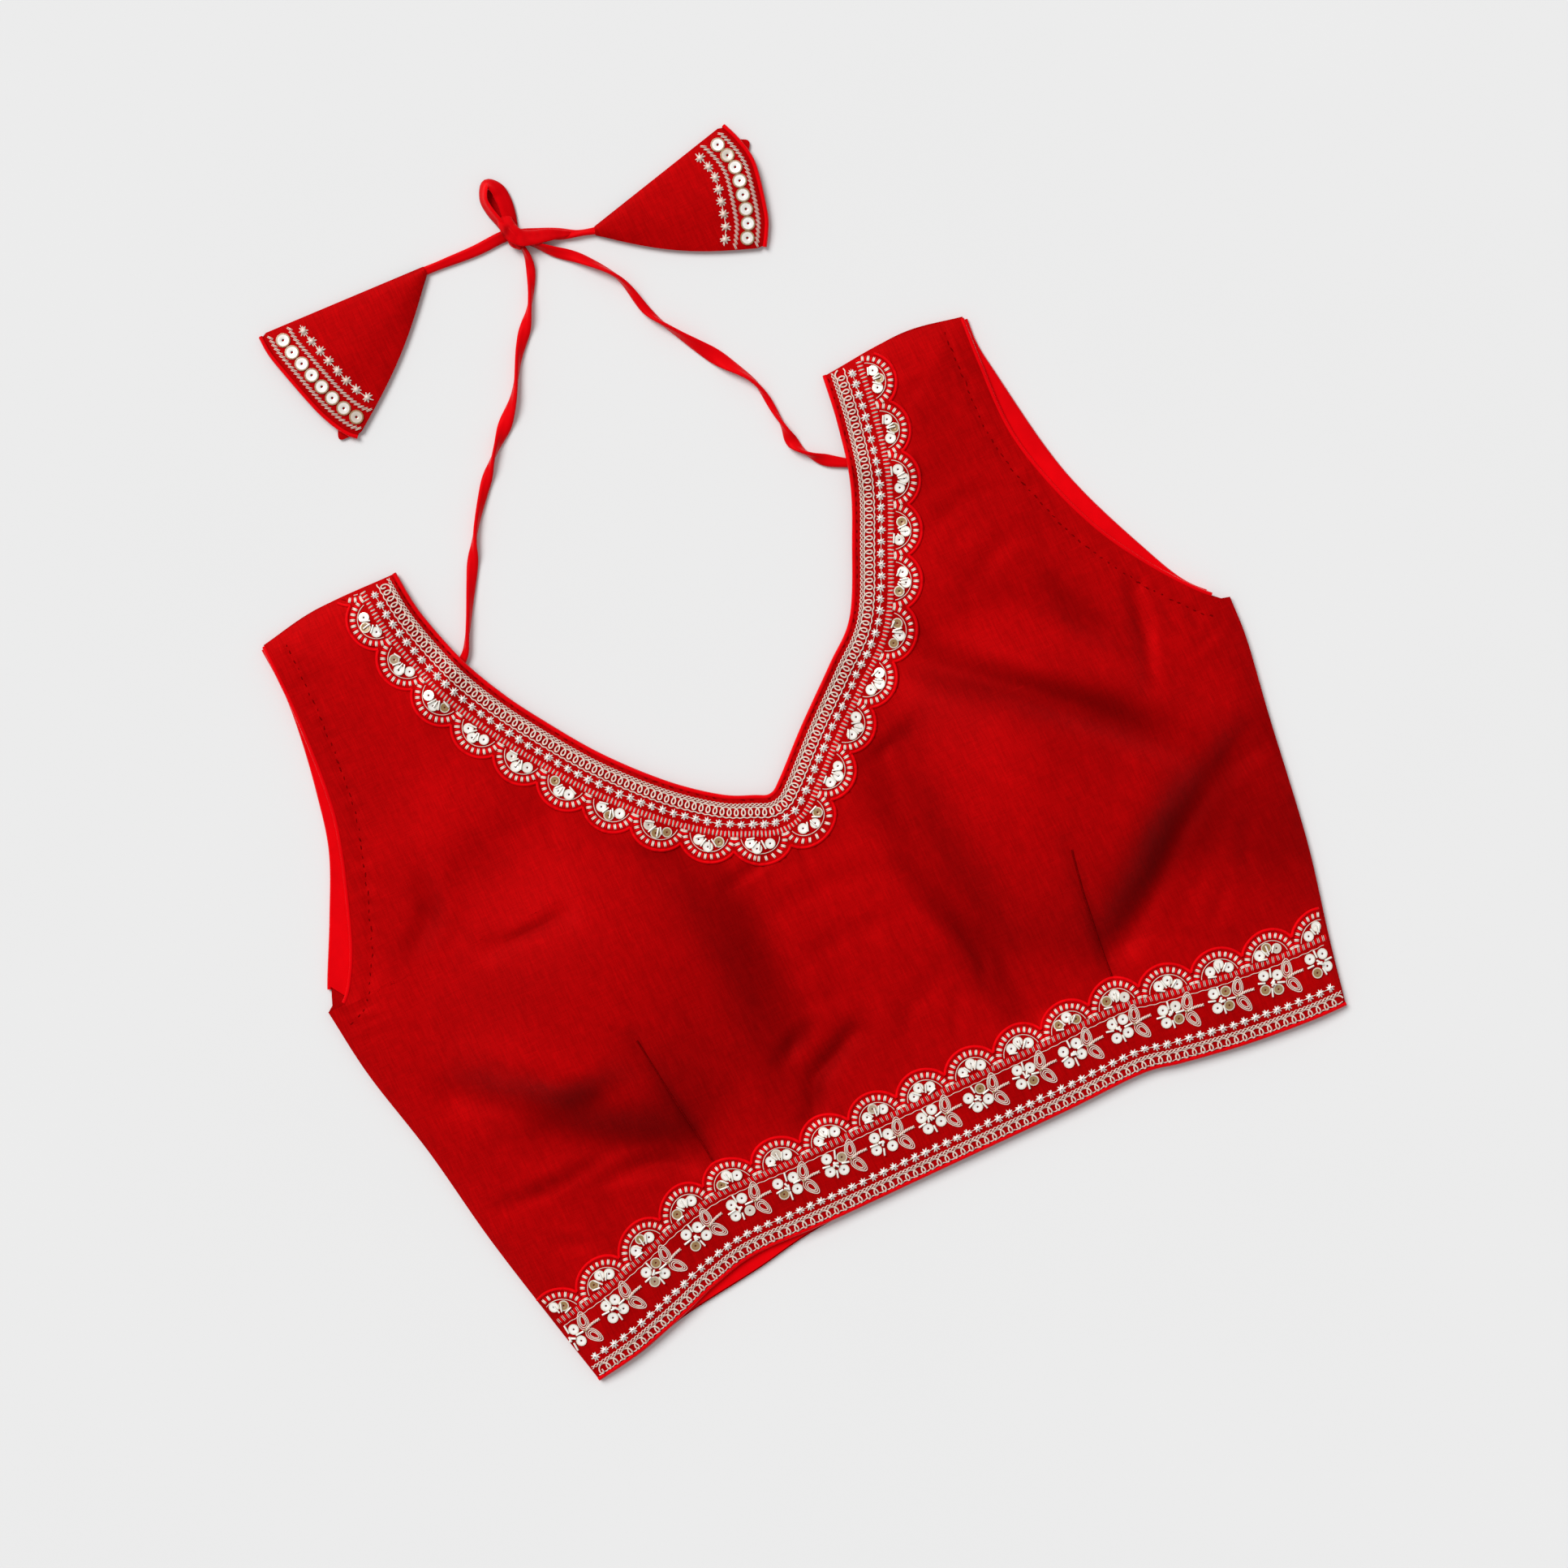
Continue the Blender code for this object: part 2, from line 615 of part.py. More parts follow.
def tassel_spot(tassel, across, along):
    """A place on the flattened cone: across from the upper side, along from the tip."""
    tip = at_shares(np.array(tassel["tip"], float), [across])[0]
    mouth = at_shares(smooth_line(tassel["mouth"]), [across])[0]
    side = np.array(tassel["mouth"][-1]) - np.array(tassel["tip"][1])
    side = side / np.linalg.norm(side)
    out = np.array((side[1], -side[0])) * np.sign(tassel["mouth"][0][0])
    bulge = tassel["bulge"] * math.sin(math.pi * along) * across ** 2
    return tip + (mouth - tip) * along + out * bulge


def tassel_top(across, along):
    crown = TASSEL_TIP_HEIGHT + (TASSEL_CROWN - TASSEL_TIP_HEIGHT) * along
    return TASSEL_SIDE + (crown - TASSEL_SIDE) * math.sin(math.pi * across) ** TASSEL_ROUND


def tassel_ring(bm, tassel, along, inset):
    """One loop round the cone's section, drawn in by the wall for the hollow."""
    width = np.linalg.norm(tassel_spot(tassel, 1.0, along) - tassel_spot(tassel, 0.0, along))
    edge = inset / width
    acrosses = np.linspace(edge, 1 - edge, TASSEL_ACROSS + 1)
    under = [(*tassel_spot(tassel, a, along), inset) for a in acrosses]
    over = [(*tassel_spot(tassel, a, along), tassel_top(a, along) - inset) for a in acrosses[::-1]]
    return [bm.verts.new(place(*spot)) for spot in under + over]


def join_rings(bm, first, second):
    for k in range(len(first)):
        after = (k + 1) % len(first)
        bm.faces.new((first[k], first[after], second[after], second[k]))


def make_tassel(side, material):
    tassel = TASSELS[side]
    bm = bmesh.new()
    outer = [tassel_ring(bm, tassel, t, 0.0) for t in np.linspace(0, 1, TASSEL_ROWS + 1)]
    hollow = np.linspace(1, TASSEL_HOLLOW_FROM, TASSEL_ROWS)
    rings = outer + [tassel_ring(bm, tassel, t, TASSEL_WALL) for t in hollow]
    for first, second in zip(rings, rings[1:]):
        join_rings(bm, first, second)
    bm.faces.new(rings[0])
    bm.faces.new(rings[-1])
    return finish(f"tassel_{side}", bm, material)


def make_tassel_piping(side, material):
    tassel = TASSELS[side]
    acrosses = np.linspace(0.02, 0.98, 13)
    mouth = np.array([tassel_spot(tassel, a, 1.0) for a in acrosses])
    away = 1 if side == "left" else -1
    middle = moved_right(mouth, away * (SEAM_GAP + TASSEL_PIPING))
    level = [tassel_top(a, 1.0) - TASSEL_WALL / 2 for a in acrosses]
    spots = np.column_stack((middle, level))
    return tube(f"tassel_piping_{side}", spots, TASSEL_PIPING, material, resolution=1)


def main():
    for piece in list(bpy.data.objects):
        bpy.data.objects.remove(piece)
    shell = new_material("shell_silk", SHELL_RED)
    lining = new_material("lining_satin", LINING_RED)
    gold = new_material("embroidery", EMBROIDERY_GOLD)
    front = make_front(shell)
    for side in ("left", "right"):
        make_back(side, shell)
        make_armhole_facing(side, lining)
        make_tassel(side, shell)
        make_tassel_piping(side, lining)
    make_placket(lining)
    make_hem_facing(lining)
    make_pipings(lining)
    top = top_of(front)
    make_neck_border(top, gold)
    make_hem_border(top, gold)
    make_cord("dori_left", DORI_LEFT, CORD_STEP, lining)
    make_cord("dori_right", DORI_RIGHT, CORD_STEP, lining)
    make_cord("dori_tail_left", TAIL_LEFT, CORD_STEP, lining)
    make_cord("dori_tail_right", TAIL_RIGHT, CORD_STEP, lining)
    make_cord("dori_bow_loop", BOW_LOOP, TIGHT_STEP, lining)
    make_knot(lining)


main()
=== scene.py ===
"""A red silk choli blouse laid flat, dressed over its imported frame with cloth, tie cords and embroidery.

Pattern places are in millimetres, x across from the centre back and y up from the waist's level,
as in the part's source. Everything that is built is in metres, in the frame's own axes.
"""
import json
import math
import random

import bmesh
import bpy
import numpy as np
from bpy.props import FloatProperty, FloatVectorProperty, PointerProperty
from bpy.types import Operator, Panel, PropertyGroup
from mathutils import Matrix, Vector, noise
from mathutils.bvhtree import BVHTree

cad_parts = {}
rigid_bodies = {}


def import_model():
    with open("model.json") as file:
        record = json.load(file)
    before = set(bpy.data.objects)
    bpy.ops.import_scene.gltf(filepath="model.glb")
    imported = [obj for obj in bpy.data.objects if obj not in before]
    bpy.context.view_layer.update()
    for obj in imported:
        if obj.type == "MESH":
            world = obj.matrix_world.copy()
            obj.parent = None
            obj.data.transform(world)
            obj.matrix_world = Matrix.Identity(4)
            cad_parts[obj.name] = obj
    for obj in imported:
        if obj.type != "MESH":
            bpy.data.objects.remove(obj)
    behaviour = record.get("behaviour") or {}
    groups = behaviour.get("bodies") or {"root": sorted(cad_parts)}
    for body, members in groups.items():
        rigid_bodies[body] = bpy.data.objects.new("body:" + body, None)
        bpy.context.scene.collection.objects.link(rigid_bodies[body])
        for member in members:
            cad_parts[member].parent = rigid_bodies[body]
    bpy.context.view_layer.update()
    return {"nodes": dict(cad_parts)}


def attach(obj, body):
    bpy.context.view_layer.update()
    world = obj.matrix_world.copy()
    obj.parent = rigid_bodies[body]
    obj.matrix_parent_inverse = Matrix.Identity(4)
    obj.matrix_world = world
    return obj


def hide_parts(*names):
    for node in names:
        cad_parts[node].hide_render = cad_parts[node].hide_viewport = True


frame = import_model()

bl_info = {
    "name": "Choli blouse",
    "version": (1, 0, 0),
    "blender": (4, 5, 0),
    "location": "View3D > Sidebar > Choli",
    "description": "Builds a laid out choli blouse with tie cords and embroidered borders",
    "category": "Object",
}

MM = 0.001
BODICE_MIDDLE = (2.5, 181.355)
OUTWARD = {"left": -1, "right": 1}

# Walls and heights, as in the part's source
BACK_WALL = 1.0
FACING_WALL = 1.0
FRONT_WALL = 1.4
SEAM_GAP = 0.3
PIPING_RADIUS = 1.1
PIPING_MIDDLE = 1.05
PIPING_WIDTH = 1.9
LINING_WIDTH = 27.0
LINING_EDGE = 0.5
LINING_SHARES = np.linspace(0.07, 0.965, 70)
HEM_FACING = {"from_x": -152, "to_x": -56, "inset": 0.8, "deep": 26}
LINING_WAVE = 0.12
PLACKET_EDGE = ((-10.0, 16.0), (-10.0, 176.0))
PLACKET_WIDTH = 20
SEAM_LEVEL = 1.2
STRAP_RISE = 2.9
STRAP_REACH = 6.0
EDGE_DROP = 1.1
EDGE_REACH = 7.0
BODY_RISE = 3.0
BODY_REACH = 25.0
SOFT_FLOOR = 0.04

# Finished edges, from the left to the right
NECK_EDGE = (
    (-112.5, 372), (-110, 350), (-102, 322), (-92, 300), (-80, 280), (-62, 254), (-40, 229.5),
    (-20, 213), (-6, 206), (1, 203.5), (8, 208), (28, 226), (52, 246), (70, 262), (86, 293),
    (97, 318), (103.5, 345), (107, 369),
)
FRONT_HEM = (
    (-189, -10), (-165, -6), (-140, 1), (-120, 7.5), (-97, 12), (-60, 11), (0, 10.5), (60, 10),
    (101, 10.5), (120, 7), (150, 2), (180, -1), (201.5, -2),
)
BACK_HEM = (
    (-189, -10), (-165, -6.5), (-140, 0), (-100, 5), (-65, 10.2), (0, 12.5), (101, 12.5),
    (150, 4.5), (201.5, -2),
)
SIDE_SEAM = {
    "left": ((-189, -10), (-197, 25), (-207, 72), (-215, 120), (-225, 165), (-229.5, 200)),
    "right": ((201.5, -2), (208, 30), (218, 75), (227, 135), (233, 172), (234.5, 194)),
}
FRONT_ARMHOLE = {
    "left": (
        (-229.5, 200), (-220, 203), (-209, 220), (-200, 243), (-192, 267), (-187, 290),
        (-184, 330), (-184, 368),
    ),
    "right": (
        (234.5, 194), (224, 203), (208, 224), (193, 250), (182, 280), (176, 310), (177, 345),
        (178.5, 366),
    ),
}
BACK_ARMHOLE = {
    "left": (
        (-229.5, 200), (-224, 213), (-210, 240), (-197, 268), (-190.5, 295), (-186, 322),
        (-184, 345), (-185, 368),
    ),
    "right": (
        (234.5, 194), (219, 210), (207, 235), (194, 268), (187, 295), (181, 335), (179, 352),
        (180, 366),
    ),
}
SHOULDER = {
    "left": ((-112.5, 372), (-150, 372.5), (-184, 368)),
    "right": ((107, 369), (145, 371), (178.5, 366)),
}
BACK_NECK = {
    "left": ((0, 186), (-35, 204), (-70, 245), (-98, 288), (-115, 322), (-124, 372)),
    "right": ((0, 186), (35, 204), (70, 243), (93, 280), (110, 318), (119, 369.5)),
}

# Cups, and the broad folds that the solids have too
CUPS = (
    {"apex": (-110, 150), "inner": 74, "outer": 88, "up": 92, "down": 78, "height": 19},
    {"apex": (116, 150), "inner": 70, "outer": 92, "up": 92, "down": 84, "height": 20},
)
CUP_POWER = 1.6
FOLDS = (
    (((-192, 140), (-168, 126), (-148, 114), (-122, 112)), 9, -3.0),
    (((-158, 104), (-132, 88), (-104, 70)), 11, -4.0),
    (((-50, 196), (-44, 140), (-38, 92)), 12, -3.0),
    (((-12, 87), (-26, 80), (-38, 74), (-46, 58)), 6, -2.5),
    (((58, 232), (60, 150), (64, 100), (68, 60)), 11, -3.5),
    (((82, 240), (125, 203), (165, 165), (184, 140)), 12, -3.5),
    (((218, 130), (190, 122), (165, 108), (145, 90), (118, 72)), 9, -4.5),
    (((-146, 194), (-110, 194)), 6, -1.6),
    (((194, 216), (190, 196), (182, 172)), 6, -1.6),
    (((-103.5, 130), (-101, 95), (-97.5, 58)), 3.2, -1.6),
    (((114, 124), (110.5, 80), (108, 56)), 3.2, -1.6),
    (((-124, 310), (-92, 328)), 8, 2.4),
    (((122, 314), (91, 332)), 8, 2.4),
)

# Finer creases: a line, half its width, how far the cloth drops, and how far it rises to the left
# of the line, or to the right where that number is negative
CREASES = (
    (((-172, 226), (-132, 246), (-96, 240)), 26.0, -3.4, 0.0),
    (((92, 246), (126, 254), (162, 240)), 24.0, -2.6, 0.0),
    (((-52, 58), (-44, 88), (-33, 120), (-32, 160), (-40, 200)), 12.0, 1.8, 1.8),
    (((65, 60), (65, 92), (59, 118), (53, 150), (52, 198)), 9.0, 1.8, 1.4),
    (((-112, 62), (-130, 84), (-150, 104), (-168, 122), (-198, 150)), 10.0, 0.8, -1.8),
    (((110, 64), (132, 77), (155, 97), (180, 115), (226, 132)), 11.0, 0.6, 2.2),
    (((84, 232), (112, 207), (140, 182), (160, 163), (182, 141)), 7.0, 2.4, 1.9),
    (((-162, 126), (-152, 116), (-138, 113), (-120, 113)), 5.4, 1.2, 1.2),
    (((-150, 74), (-130, 72), (-116, 68), (-111, 60)), 3.6, 1.7, 0.9),
    (((-206, 85), (-175, 81), (-138, 83)), 3.4, 0.9, 0.4),
    (((-10, 89), (-25, 81), (-38, 75), (-46, 58)), 3.2, 1.5, 0.2),
    (((-4, 82), (-24, 74), (-34, 66)), 6.0, 0.9, 0.0),
    (((-28, 98), (-38, 95), (-50, 88)), 3.6, 1.2, 0.5),
    (((-162, 246), (-165, 224), (-184, 206)), 5.0, 1.6, 0.8),
    (((-148, 194), (-108, 194)), 6.0, -1.1, 0.0),
    (((-144, 193), (-110, 194)), 2.6, 1.0, 0.2),
    (((218, 129), (190, 121), (165, 107), (145, 90), (122, 74)), 5.0, 0.7, 0.4),
    (((41, 134), (48, 118), (54, 106), (56, 92), (54, 78), (57, 60)), 3.0, 1.9, 1.0),
    (((162, 236), (165, 216), (176, 199)), 5.0, 1.8, 0.8),
    (((29, 60), (38, 82)), 2.6, 0.9, 0.4),
    (((45, 60), (48, 82)), 2.6, 0.9, 0.4),
    (((12, 64), (14, 100), (10, 140)), 4.0, 0.9, 0.5),
    (((-26, 150), (0, 154), (30, 149)), 5.0, 0.6, 0.4),
    (((-24, 124), (6, 128), (34, 122)), 5.0, 0.5, 0.3),
    (((-30, 108), (-4, 104)), 4.0, 0.5, 0.3),
    (((2, 70), (20, 86), (40, 92)), 5.0, 0.7, 0.4),
    (((-12, 100), (-8, 130), (-12, 158)), 4.0, 0.6, 0.3),
    (((26, 88), (28, 120), (24, 150)), 4.0, 0.6, 0.3),
    (((196, 228), (192, 200), (181, 172)), 3.2, 1.0, 0.4),
    (((204, 211), (206, 189)), 2.4, 0.9, 0.4),
    (((212, 201), (219, 184)), 2.4, 0.9, 0.4),
    (((186, 60), (190, 84), (204, 104)), 4.0, 0.9, 0.4),
    (((160, 58), (178, 78)), 3.4, 0.8, 0.4),
    (((128, 250), (150, 262), (168, 262)), 5.0, 0.8, 0.4),
    (((120, 282), (145, 288), (168, 284)), 4.0, 0.7, 0.3),
    (((136, 344), (152, 346)), 3.0, 0.7, 0.3),
    (((-40, 171), (-18, 176), (3, 180)), 3.0, 1.0, 0.5),
    (((2, 181), (5, 163)), 2.6, 0.8, 0.3),
    (((48, 196), (64, 200), (76, 206)), 3.4, 0.9, 0.4),
    (((-182, 58), (-164, 49)), 2.8, 0.9, 0.4),
    (((-226, 196), (-208, 194)), 1.9, 0.7, 0.3),
    (((-224, 189), (-204, 187)), 1.9, 0.7, 0.3),
    (((-222, 182), (-206, 181)), 1.9, 0.6, 0.3),
    (((228, 185), (206, 178)), 2.6, 0.8, 0.3),
)
# Painted shade: where the silk lies in its own shade, its colour is painted darker: a line, half its
# width, and how much
PAINTED_SHADES = (
    (((-152, 112), (-124, 112)), 7.0, 0.62),
    (((-178, 133), (-150, 110), (-128, 90), (-110, 74)), 13.0, 0.42),
    (((-122, 96), (-98, 76)), 15.0, 0.30),
    (((-112, 236), (-150, 214)), 24.0, 0.16),
    (((-158, 176), (-94, 182)), 22.0, 0.24),
    (((80, 222), (112, 186)), 26.0, 0.30),
    (((98, 212), (152, 166)), 18.0, 0.20),
    (((-140, 82), (-58, 86)), 24.0, 0.26),
    (((-50, 198), (-46, 150), (-43, 110), (-48, 66)), 17.0, 0.38),
    (((-40, 196), (-35, 150), (-37, 96)), 8.0, 0.34),
    (((62, 198), (62, 150), (66, 110), (68, 66)), 14.0, 0.36),
    (((40, 150), (50, 120), (56, 100), (58, 64)), 6.0, 0.44),
    (((48, 196), (46, 150)), 12.0, 0.26),
    (((72, 84), (112, 84)), 20.0, 0.22),
    (((92, 224), (125, 201), (150, 181), (178, 148)), 7.0, 0.44),
    (((146, 188), (174, 156)), 10.0, 0.36),
    (((108, 68), (145, 93), (172, 108), (222, 130)), 10.0, 0.55),
    (((136, 92), (158, 103), (190, 118)), 17.0, 0.42),
    (((162, 236), (168, 216), (178, 200)), 8.0, 0.46),
    (((-164, 236), (-167, 218), (-186, 207)), 6.0, 0.30),
    (((193, 218), (184, 178)), 4.0, 0.30),
    (((206, 116), (190, 62)), 26.0, 0.40),
    (((228, 182), (224, 120), (212, 56)), 8.0, 0.24),
    (((-103, 128), (-100, 95), (-96, 56)), 3.6, 0.34),
    (((114.5, 120), (111, 95), (108.5, 56)), 3.6, 0.30),
    (((-12, 88), (-34, 75), (-46, 58)), 5.5, 0.55),
    (((-6, 82), (-28, 70)), 6.0, 0.24),
    (((-30, 98), (-50, 90)), 4.5, 0.44),
    (((-196, 85), (-150, 83)), 5.0, 0.20),
    (((-138, 193.5), (-112, 194)), 2.4, 0.34),
    (((0, 120), (14, 60)), 26.0, 0.12),
    (((28, 104), (46, 96), (40, 70)), 9.0, 0.16),
    (((-24, 196), (0, 172), (36, 190)), 8.0, 0.16),
    (((-70, 210), (-46, 202)), 7.0, 0.30),
    (((48, 198), (80, 206)), 5.0, 0.26),
    (((120, 262), (140, 250)), 10.0, 0.16),
)
DARTS = (
    ((-103.5, 127), (-100.5, 95), (-97, 62), (-94, 48)),
    ((115.5, 120), (112, 100), (110, 80), (107, 48)),
)
CREASE_FADE = 0.6
RIDGE_AWAY = 1.9
RIDGE_WIDTH = 1.1
DART_WIDTH = 0.9
DART_DEPTH = 0.9
DART_LIP = 0.5
DART_LIP_WIDTH = 7.0
ARMHOLE_SEWN = 9.0
STITCH_PITCH = 4.2
NECK_STITCH_ROW = 2.3
DART_SEAM = {"step": 1.2, "lift": 0.02, "radius": 0.52}
FRONT_GRID = (96, 92, 72)
BACK_GRID = (40, 40, 44)
SEWN_DEPTH = 0.5
SEWN_WIDTH = 1.8
PUCKER_RISE = 0.26
PUCKER_WIDTH = 4.5
PUCKER_PITCH = 1.35
CALM_REACH = 6.0
SEAM_SHARES = np.linspace(0, 1, 25)

# Unevenness of limp cloth: how long it is across and up, where its noise lies, and its rise
WANDERS = ((34, 46, 3.1, 0.5), (13, 19, 8.7, 0.16))

# Borders: distances in from the finished edge
BORDER_START = 2.6
SCALLOP_RADIUS = 14.0
NECK_BASE = 18.5
NECK_CENTRE = 18.4
NECK_SCALLOPS = 20
NECK_FIRST_CUSP = 2.6
HEM_BASE = 36.5
HEM_CENTRE = 33.2
HEM_PITCH = 24.7
HEM_FIRST_CUSP = -204.3
HEM_LEAN = (-0.24, 0.19)
BORDER_TRIM = 0.7
NECK_SLANT = (-0.13, 0.19)

# Tie cords: the routes of the part's source, and how wide they look at places along them
CORD_CLEAR = 0.1
CORD_STEP = 1.2
CORD_SMOOTHED = 9
DORI_LEFT = (
    (-112.3, 316.9), (-101, 322.5), (-94.2, 332.5), (-84.2, 350), (-71.7, 371.7), (-60, 387.5),
    (-49.2, 400), (-36.7, 412.5), (-27, 423), (-16.4, 439.5), (-3.6, 455.9), (3.6, 468.5),
    (6.6, 478), (6.4, 486),
)
DORI_RIGHT = (
    (110.2, 322.4), (100, 327.5), (88.3, 335.8), (81.5, 346), (80.2, 360), (77.5, 379.2),
    (68, 395.5), (55, 415.5), (46.5, 431), (41, 451), (29.1, 466.8), (18.5, 476), (11, 483.5),
    (6, 487.5),
)
TAIL_LEFT = ((6, 491.5), (-0.9, 492.3), (-14, 491.9), (-29, 492.8), (-39.7, 493.5))
TAIL_RIGHT = ((4, 492), (10.9, 489.6), (21.8, 483.6), (30.9, 479.2), (40.8, 476.1))
BOW_LOOP = (
    (3.4, 492), (1.4, 499.2), (-0.3, 506), (-0.3, 512), (3.6, 517.6), (8, 513.5), (9, 507),
    (8, 499.5), (6.4, 492),
)
LOOP_INSIDE = ((4.0, 498, 1.0), (3.6, 504, 0.7), (3.2, 510, 0.7), (3.4, 515, 0.9))
KNOT_MIDDLE = (5.2, 489.6, 3.4)
KNOT_HALF = (4.6, 7.4, 3.3)
KNOT_BAND = (
    (4.6, 500.5, 2.4), (4.2, 496, 4.4), (4.9, 491.2, 5.6), (7.8, 487.4, 5.4), (13.5, 485.2, 4.4),
    (21, 483.2, 3.2), (30, 479.6, 1.8),
)
KNOT_CREASE = ((-3, 491.2), (1.2, 492.2), (3.4, 494.2))

# Shares of a band's length with its rolls or widths there
LOOP_ROLLS = ((0.0, 0.12, 0.34, 0.48, 0.66, 1.0), (0.8, 0.95, 0.95, 0.8, 0.2, 0.2))
LOOP_WIDTHS = ((0.0, 0.2, 0.5, 0.66, 0.85, 1.0), (5.2, 6.2, 6.4, 7.4, 7.0, 5.6))
INSIDE_SIZE = (6.4, 0.7)
BAND_WIDTHS = ((0.0, 0.2, 0.4, 0.7, 1.0), (6.6, 8.2, 8.8, 6.6, 2.4))
BAND_THICK = 2.0

# Widths of the flat cords, with a quarter turn between each place and the next
CORD_TWISTS = {
    "dori_left": (
        ((-106, 320), 4.6), ((-94, 332), 3.6), ((-78, 362), 5.6), ((-71.7, 371.7), 3.6),
        ((-54, 394), 5.2), ((-48, 401), 3.6), ((-36.7, 412.5), 7.0), ((-23, 431), 3.6),
        ((-9, 449.5), 6.0), ((-2, 459), 3.4), ((5, 472), 4.4), ((6.4, 484), 4.6),
    ),
    "dori_right": (
        ((90, 334.4), 6.4), ((85.2, 338.7), 3.0), ((81, 347), 6.8), ((80.2, 358), 3.6),
        ((79.6, 368), 3.2), ((78.2, 376), 3.6), ((66, 398), 7.4), ((50, 424), 4.4),
        ((46, 433), 4.2), ((40, 452), 5.0), ((24, 471), 5.4), ((10, 484), 5.0),
    ),
}
DORI_ENDS = (2.4, 4.6)
TAIL_ROLLS = {
    "left": ((0.0, 0.7, 0.86, 1.0), (0.1, 0.15, 0.4, 0.1)),
    "right": ((0.0, 0.7, 0.86, 1.0), (0.1, 0.15, 1.1, 0.1)),
}
TAIL_WIDTHS = {
    "left": ((0.0, 5.4), (0.3, 5.6), (0.7, 4.6), (0.93, 3.8), (1.0, 4.2)),
    "right": ((0.0, 3.0), (0.22, 3.6), (0.5, 6.4), (0.7, 4.8), (0.86, 2.6), (1.0, 4.4)),
}

# Tassel cones, as in the part's source
TASSELS = {
    "left": {
        "tip": ((-39.4, 495.6), (-39.4, 491.5)),
        "mouth": (
            (-121.4, 499.4), (-120.9, 490.5), (-118.9, 481.4), (-113, 460), (-109, 449.2),
            (-104.4, 441), (-100.3, 437.2),
        ),
        "bulge": 3.2, "behind": (0.80, 0.99, 5.0), "seed": 3,
    },
    "right": {
        "tip": ((40.9, 478.1), (39.6, 474.2)),
        "mouth": (
            (114.6, 495.0), (117.6, 486.8), (119.7, 477.7), (119.4, 468.6), (115, 449.2),
            (111.4, 441.2), (107.6, 435.2),
        ),
        "bulge": 4.2, "behind": (0.10, 0.34, 4.6), "seed": 5,
    },
}
TASSEL_WALL = 1.0
TASSEL_SIDE = 2.3
TASSEL_TIP_HEIGHT = 3.4
TASSEL_CROWN = 4.4
TASSEL_ROUND = 0.7
TASSEL_HOLLOW_FROM = 0.2
TASSEL_GRID = (56, 60)
TASSEL_OUTSIDE = 0.6
TASSEL_RIPPLE = 0.25
TASSEL_EDGE = {"inward": 0.85, "down": 0.7, "radius": 1.0}
TASSEL_BEADS = 8
BEHIND_INWARD = 2.0
BEHIND_LEVEL = 0.35
BEHIND_WALL = 0.8
TASSEL_STITCH = {"pitch": 2.1, "slant": 0.62, "size": (3.3, 0.56, 0.44)}
TASSEL_ROWS = {"outer rope": 3.0, "sequins": 7.8, "inner rope": 13.0, "stars": 18.2}

# The photograph's frame on the table
VIEW_MIDDLE = (8.7, 204.65)
VIEW_WIDTH = 0.734
VIEW_TURN = -25.5
SENSOR = 36.0
KEY_SIDE = (-0.334, 0.943)
KEY_HEIGHT = 50.0
KEY_SPREAD = 34.0
KEY_AWAY = 2.0
TABLE_SIZE = 14.0
TABLE_DROP = 0.0003


# Settings that a user would change

class ClothSettings(PropertyGroup):
    """Colours of the cloths and the width of the piping."""

    shell: FloatVectorProperty(
        name="Shell", description="Colour of the slubbed silk", default=(0.50, 0.0012, 0.002),
        size=3, min=0.0, max=1.0, subtype="COLOR",
    )
    satin: FloatVectorProperty(
        name="Satin", description="Colour of the lining, piping and cords",
        default=(0.80, 0.0012, 0.004), size=3, min=0.0, max=1.0, subtype="COLOR",
    )
    piping: FloatProperty(
        name="Piping radius", description="Radius of the piping round the edges",
        default=PIPING_RADIUS * MM, min=0.0008, max=0.002, unit="LENGTH",
    )
    cord_thickness: FloatProperty(
        name="Cord thickness", description="Thickness of the flat tie cords", default=0.0022,
        min=0.001, max=0.004, unit="LENGTH",
    )


class TrimSettings(PropertyGroup):
    """Colours and sizes of the thread, sequins and beads."""

    thread: FloatVectorProperty(
        name="Thread", description="Colour of the pale gold thread", default=(1.0, 0.82, 0.71),
        size=3, min=0.0, max=1.0, subtype="COLOR",
    )
    silver: FloatVectorProperty(
        name="Silver", description="Colour of the sequins and beads", default=(1.0, 0.97, 0.92),
        size=3, min=0.0, max=1.0, subtype="COLOR",
    )
    sequin: FloatProperty(
        name="Sequin width", description="Width of the small sequins", default=0.005, min=0.003,
        max=0.008, unit="LENGTH",
    )
    big_sequin: FloatProperty(
        name="Tassel sequin width", description="Width of the rimmed sequins on the tassels",
        default=0.0068, min=0.004, max=0.01, unit="LENGTH",
    )


class StageSettings(PropertyGroup):
    """The floor, the lights and the camera."""

    camera_height: FloatProperty(
        name="Camera height", description="Height of the camera over the table", default=1.6,
        min=0.8, max=4.0, unit="LENGTH",
    )
    key: FloatProperty(
        name="Key light", description="Strength of the broad light from above the neck",
        default=2.45, min=0.0, max=20.0,
    )
    sky: FloatProperty(
        name="Soft light", description="Strength of the even light from all round", default=0.40,
        min=0.0, max=3.0,
    )
    floor: FloatVectorProperty(
        name="Floor", description="Colour of the plain table", default=(0.84, 0.84, 0.84),
        size=3, min=0.0, max=1.0, subtype="COLOR",
    )


# Lines in the pattern's plane

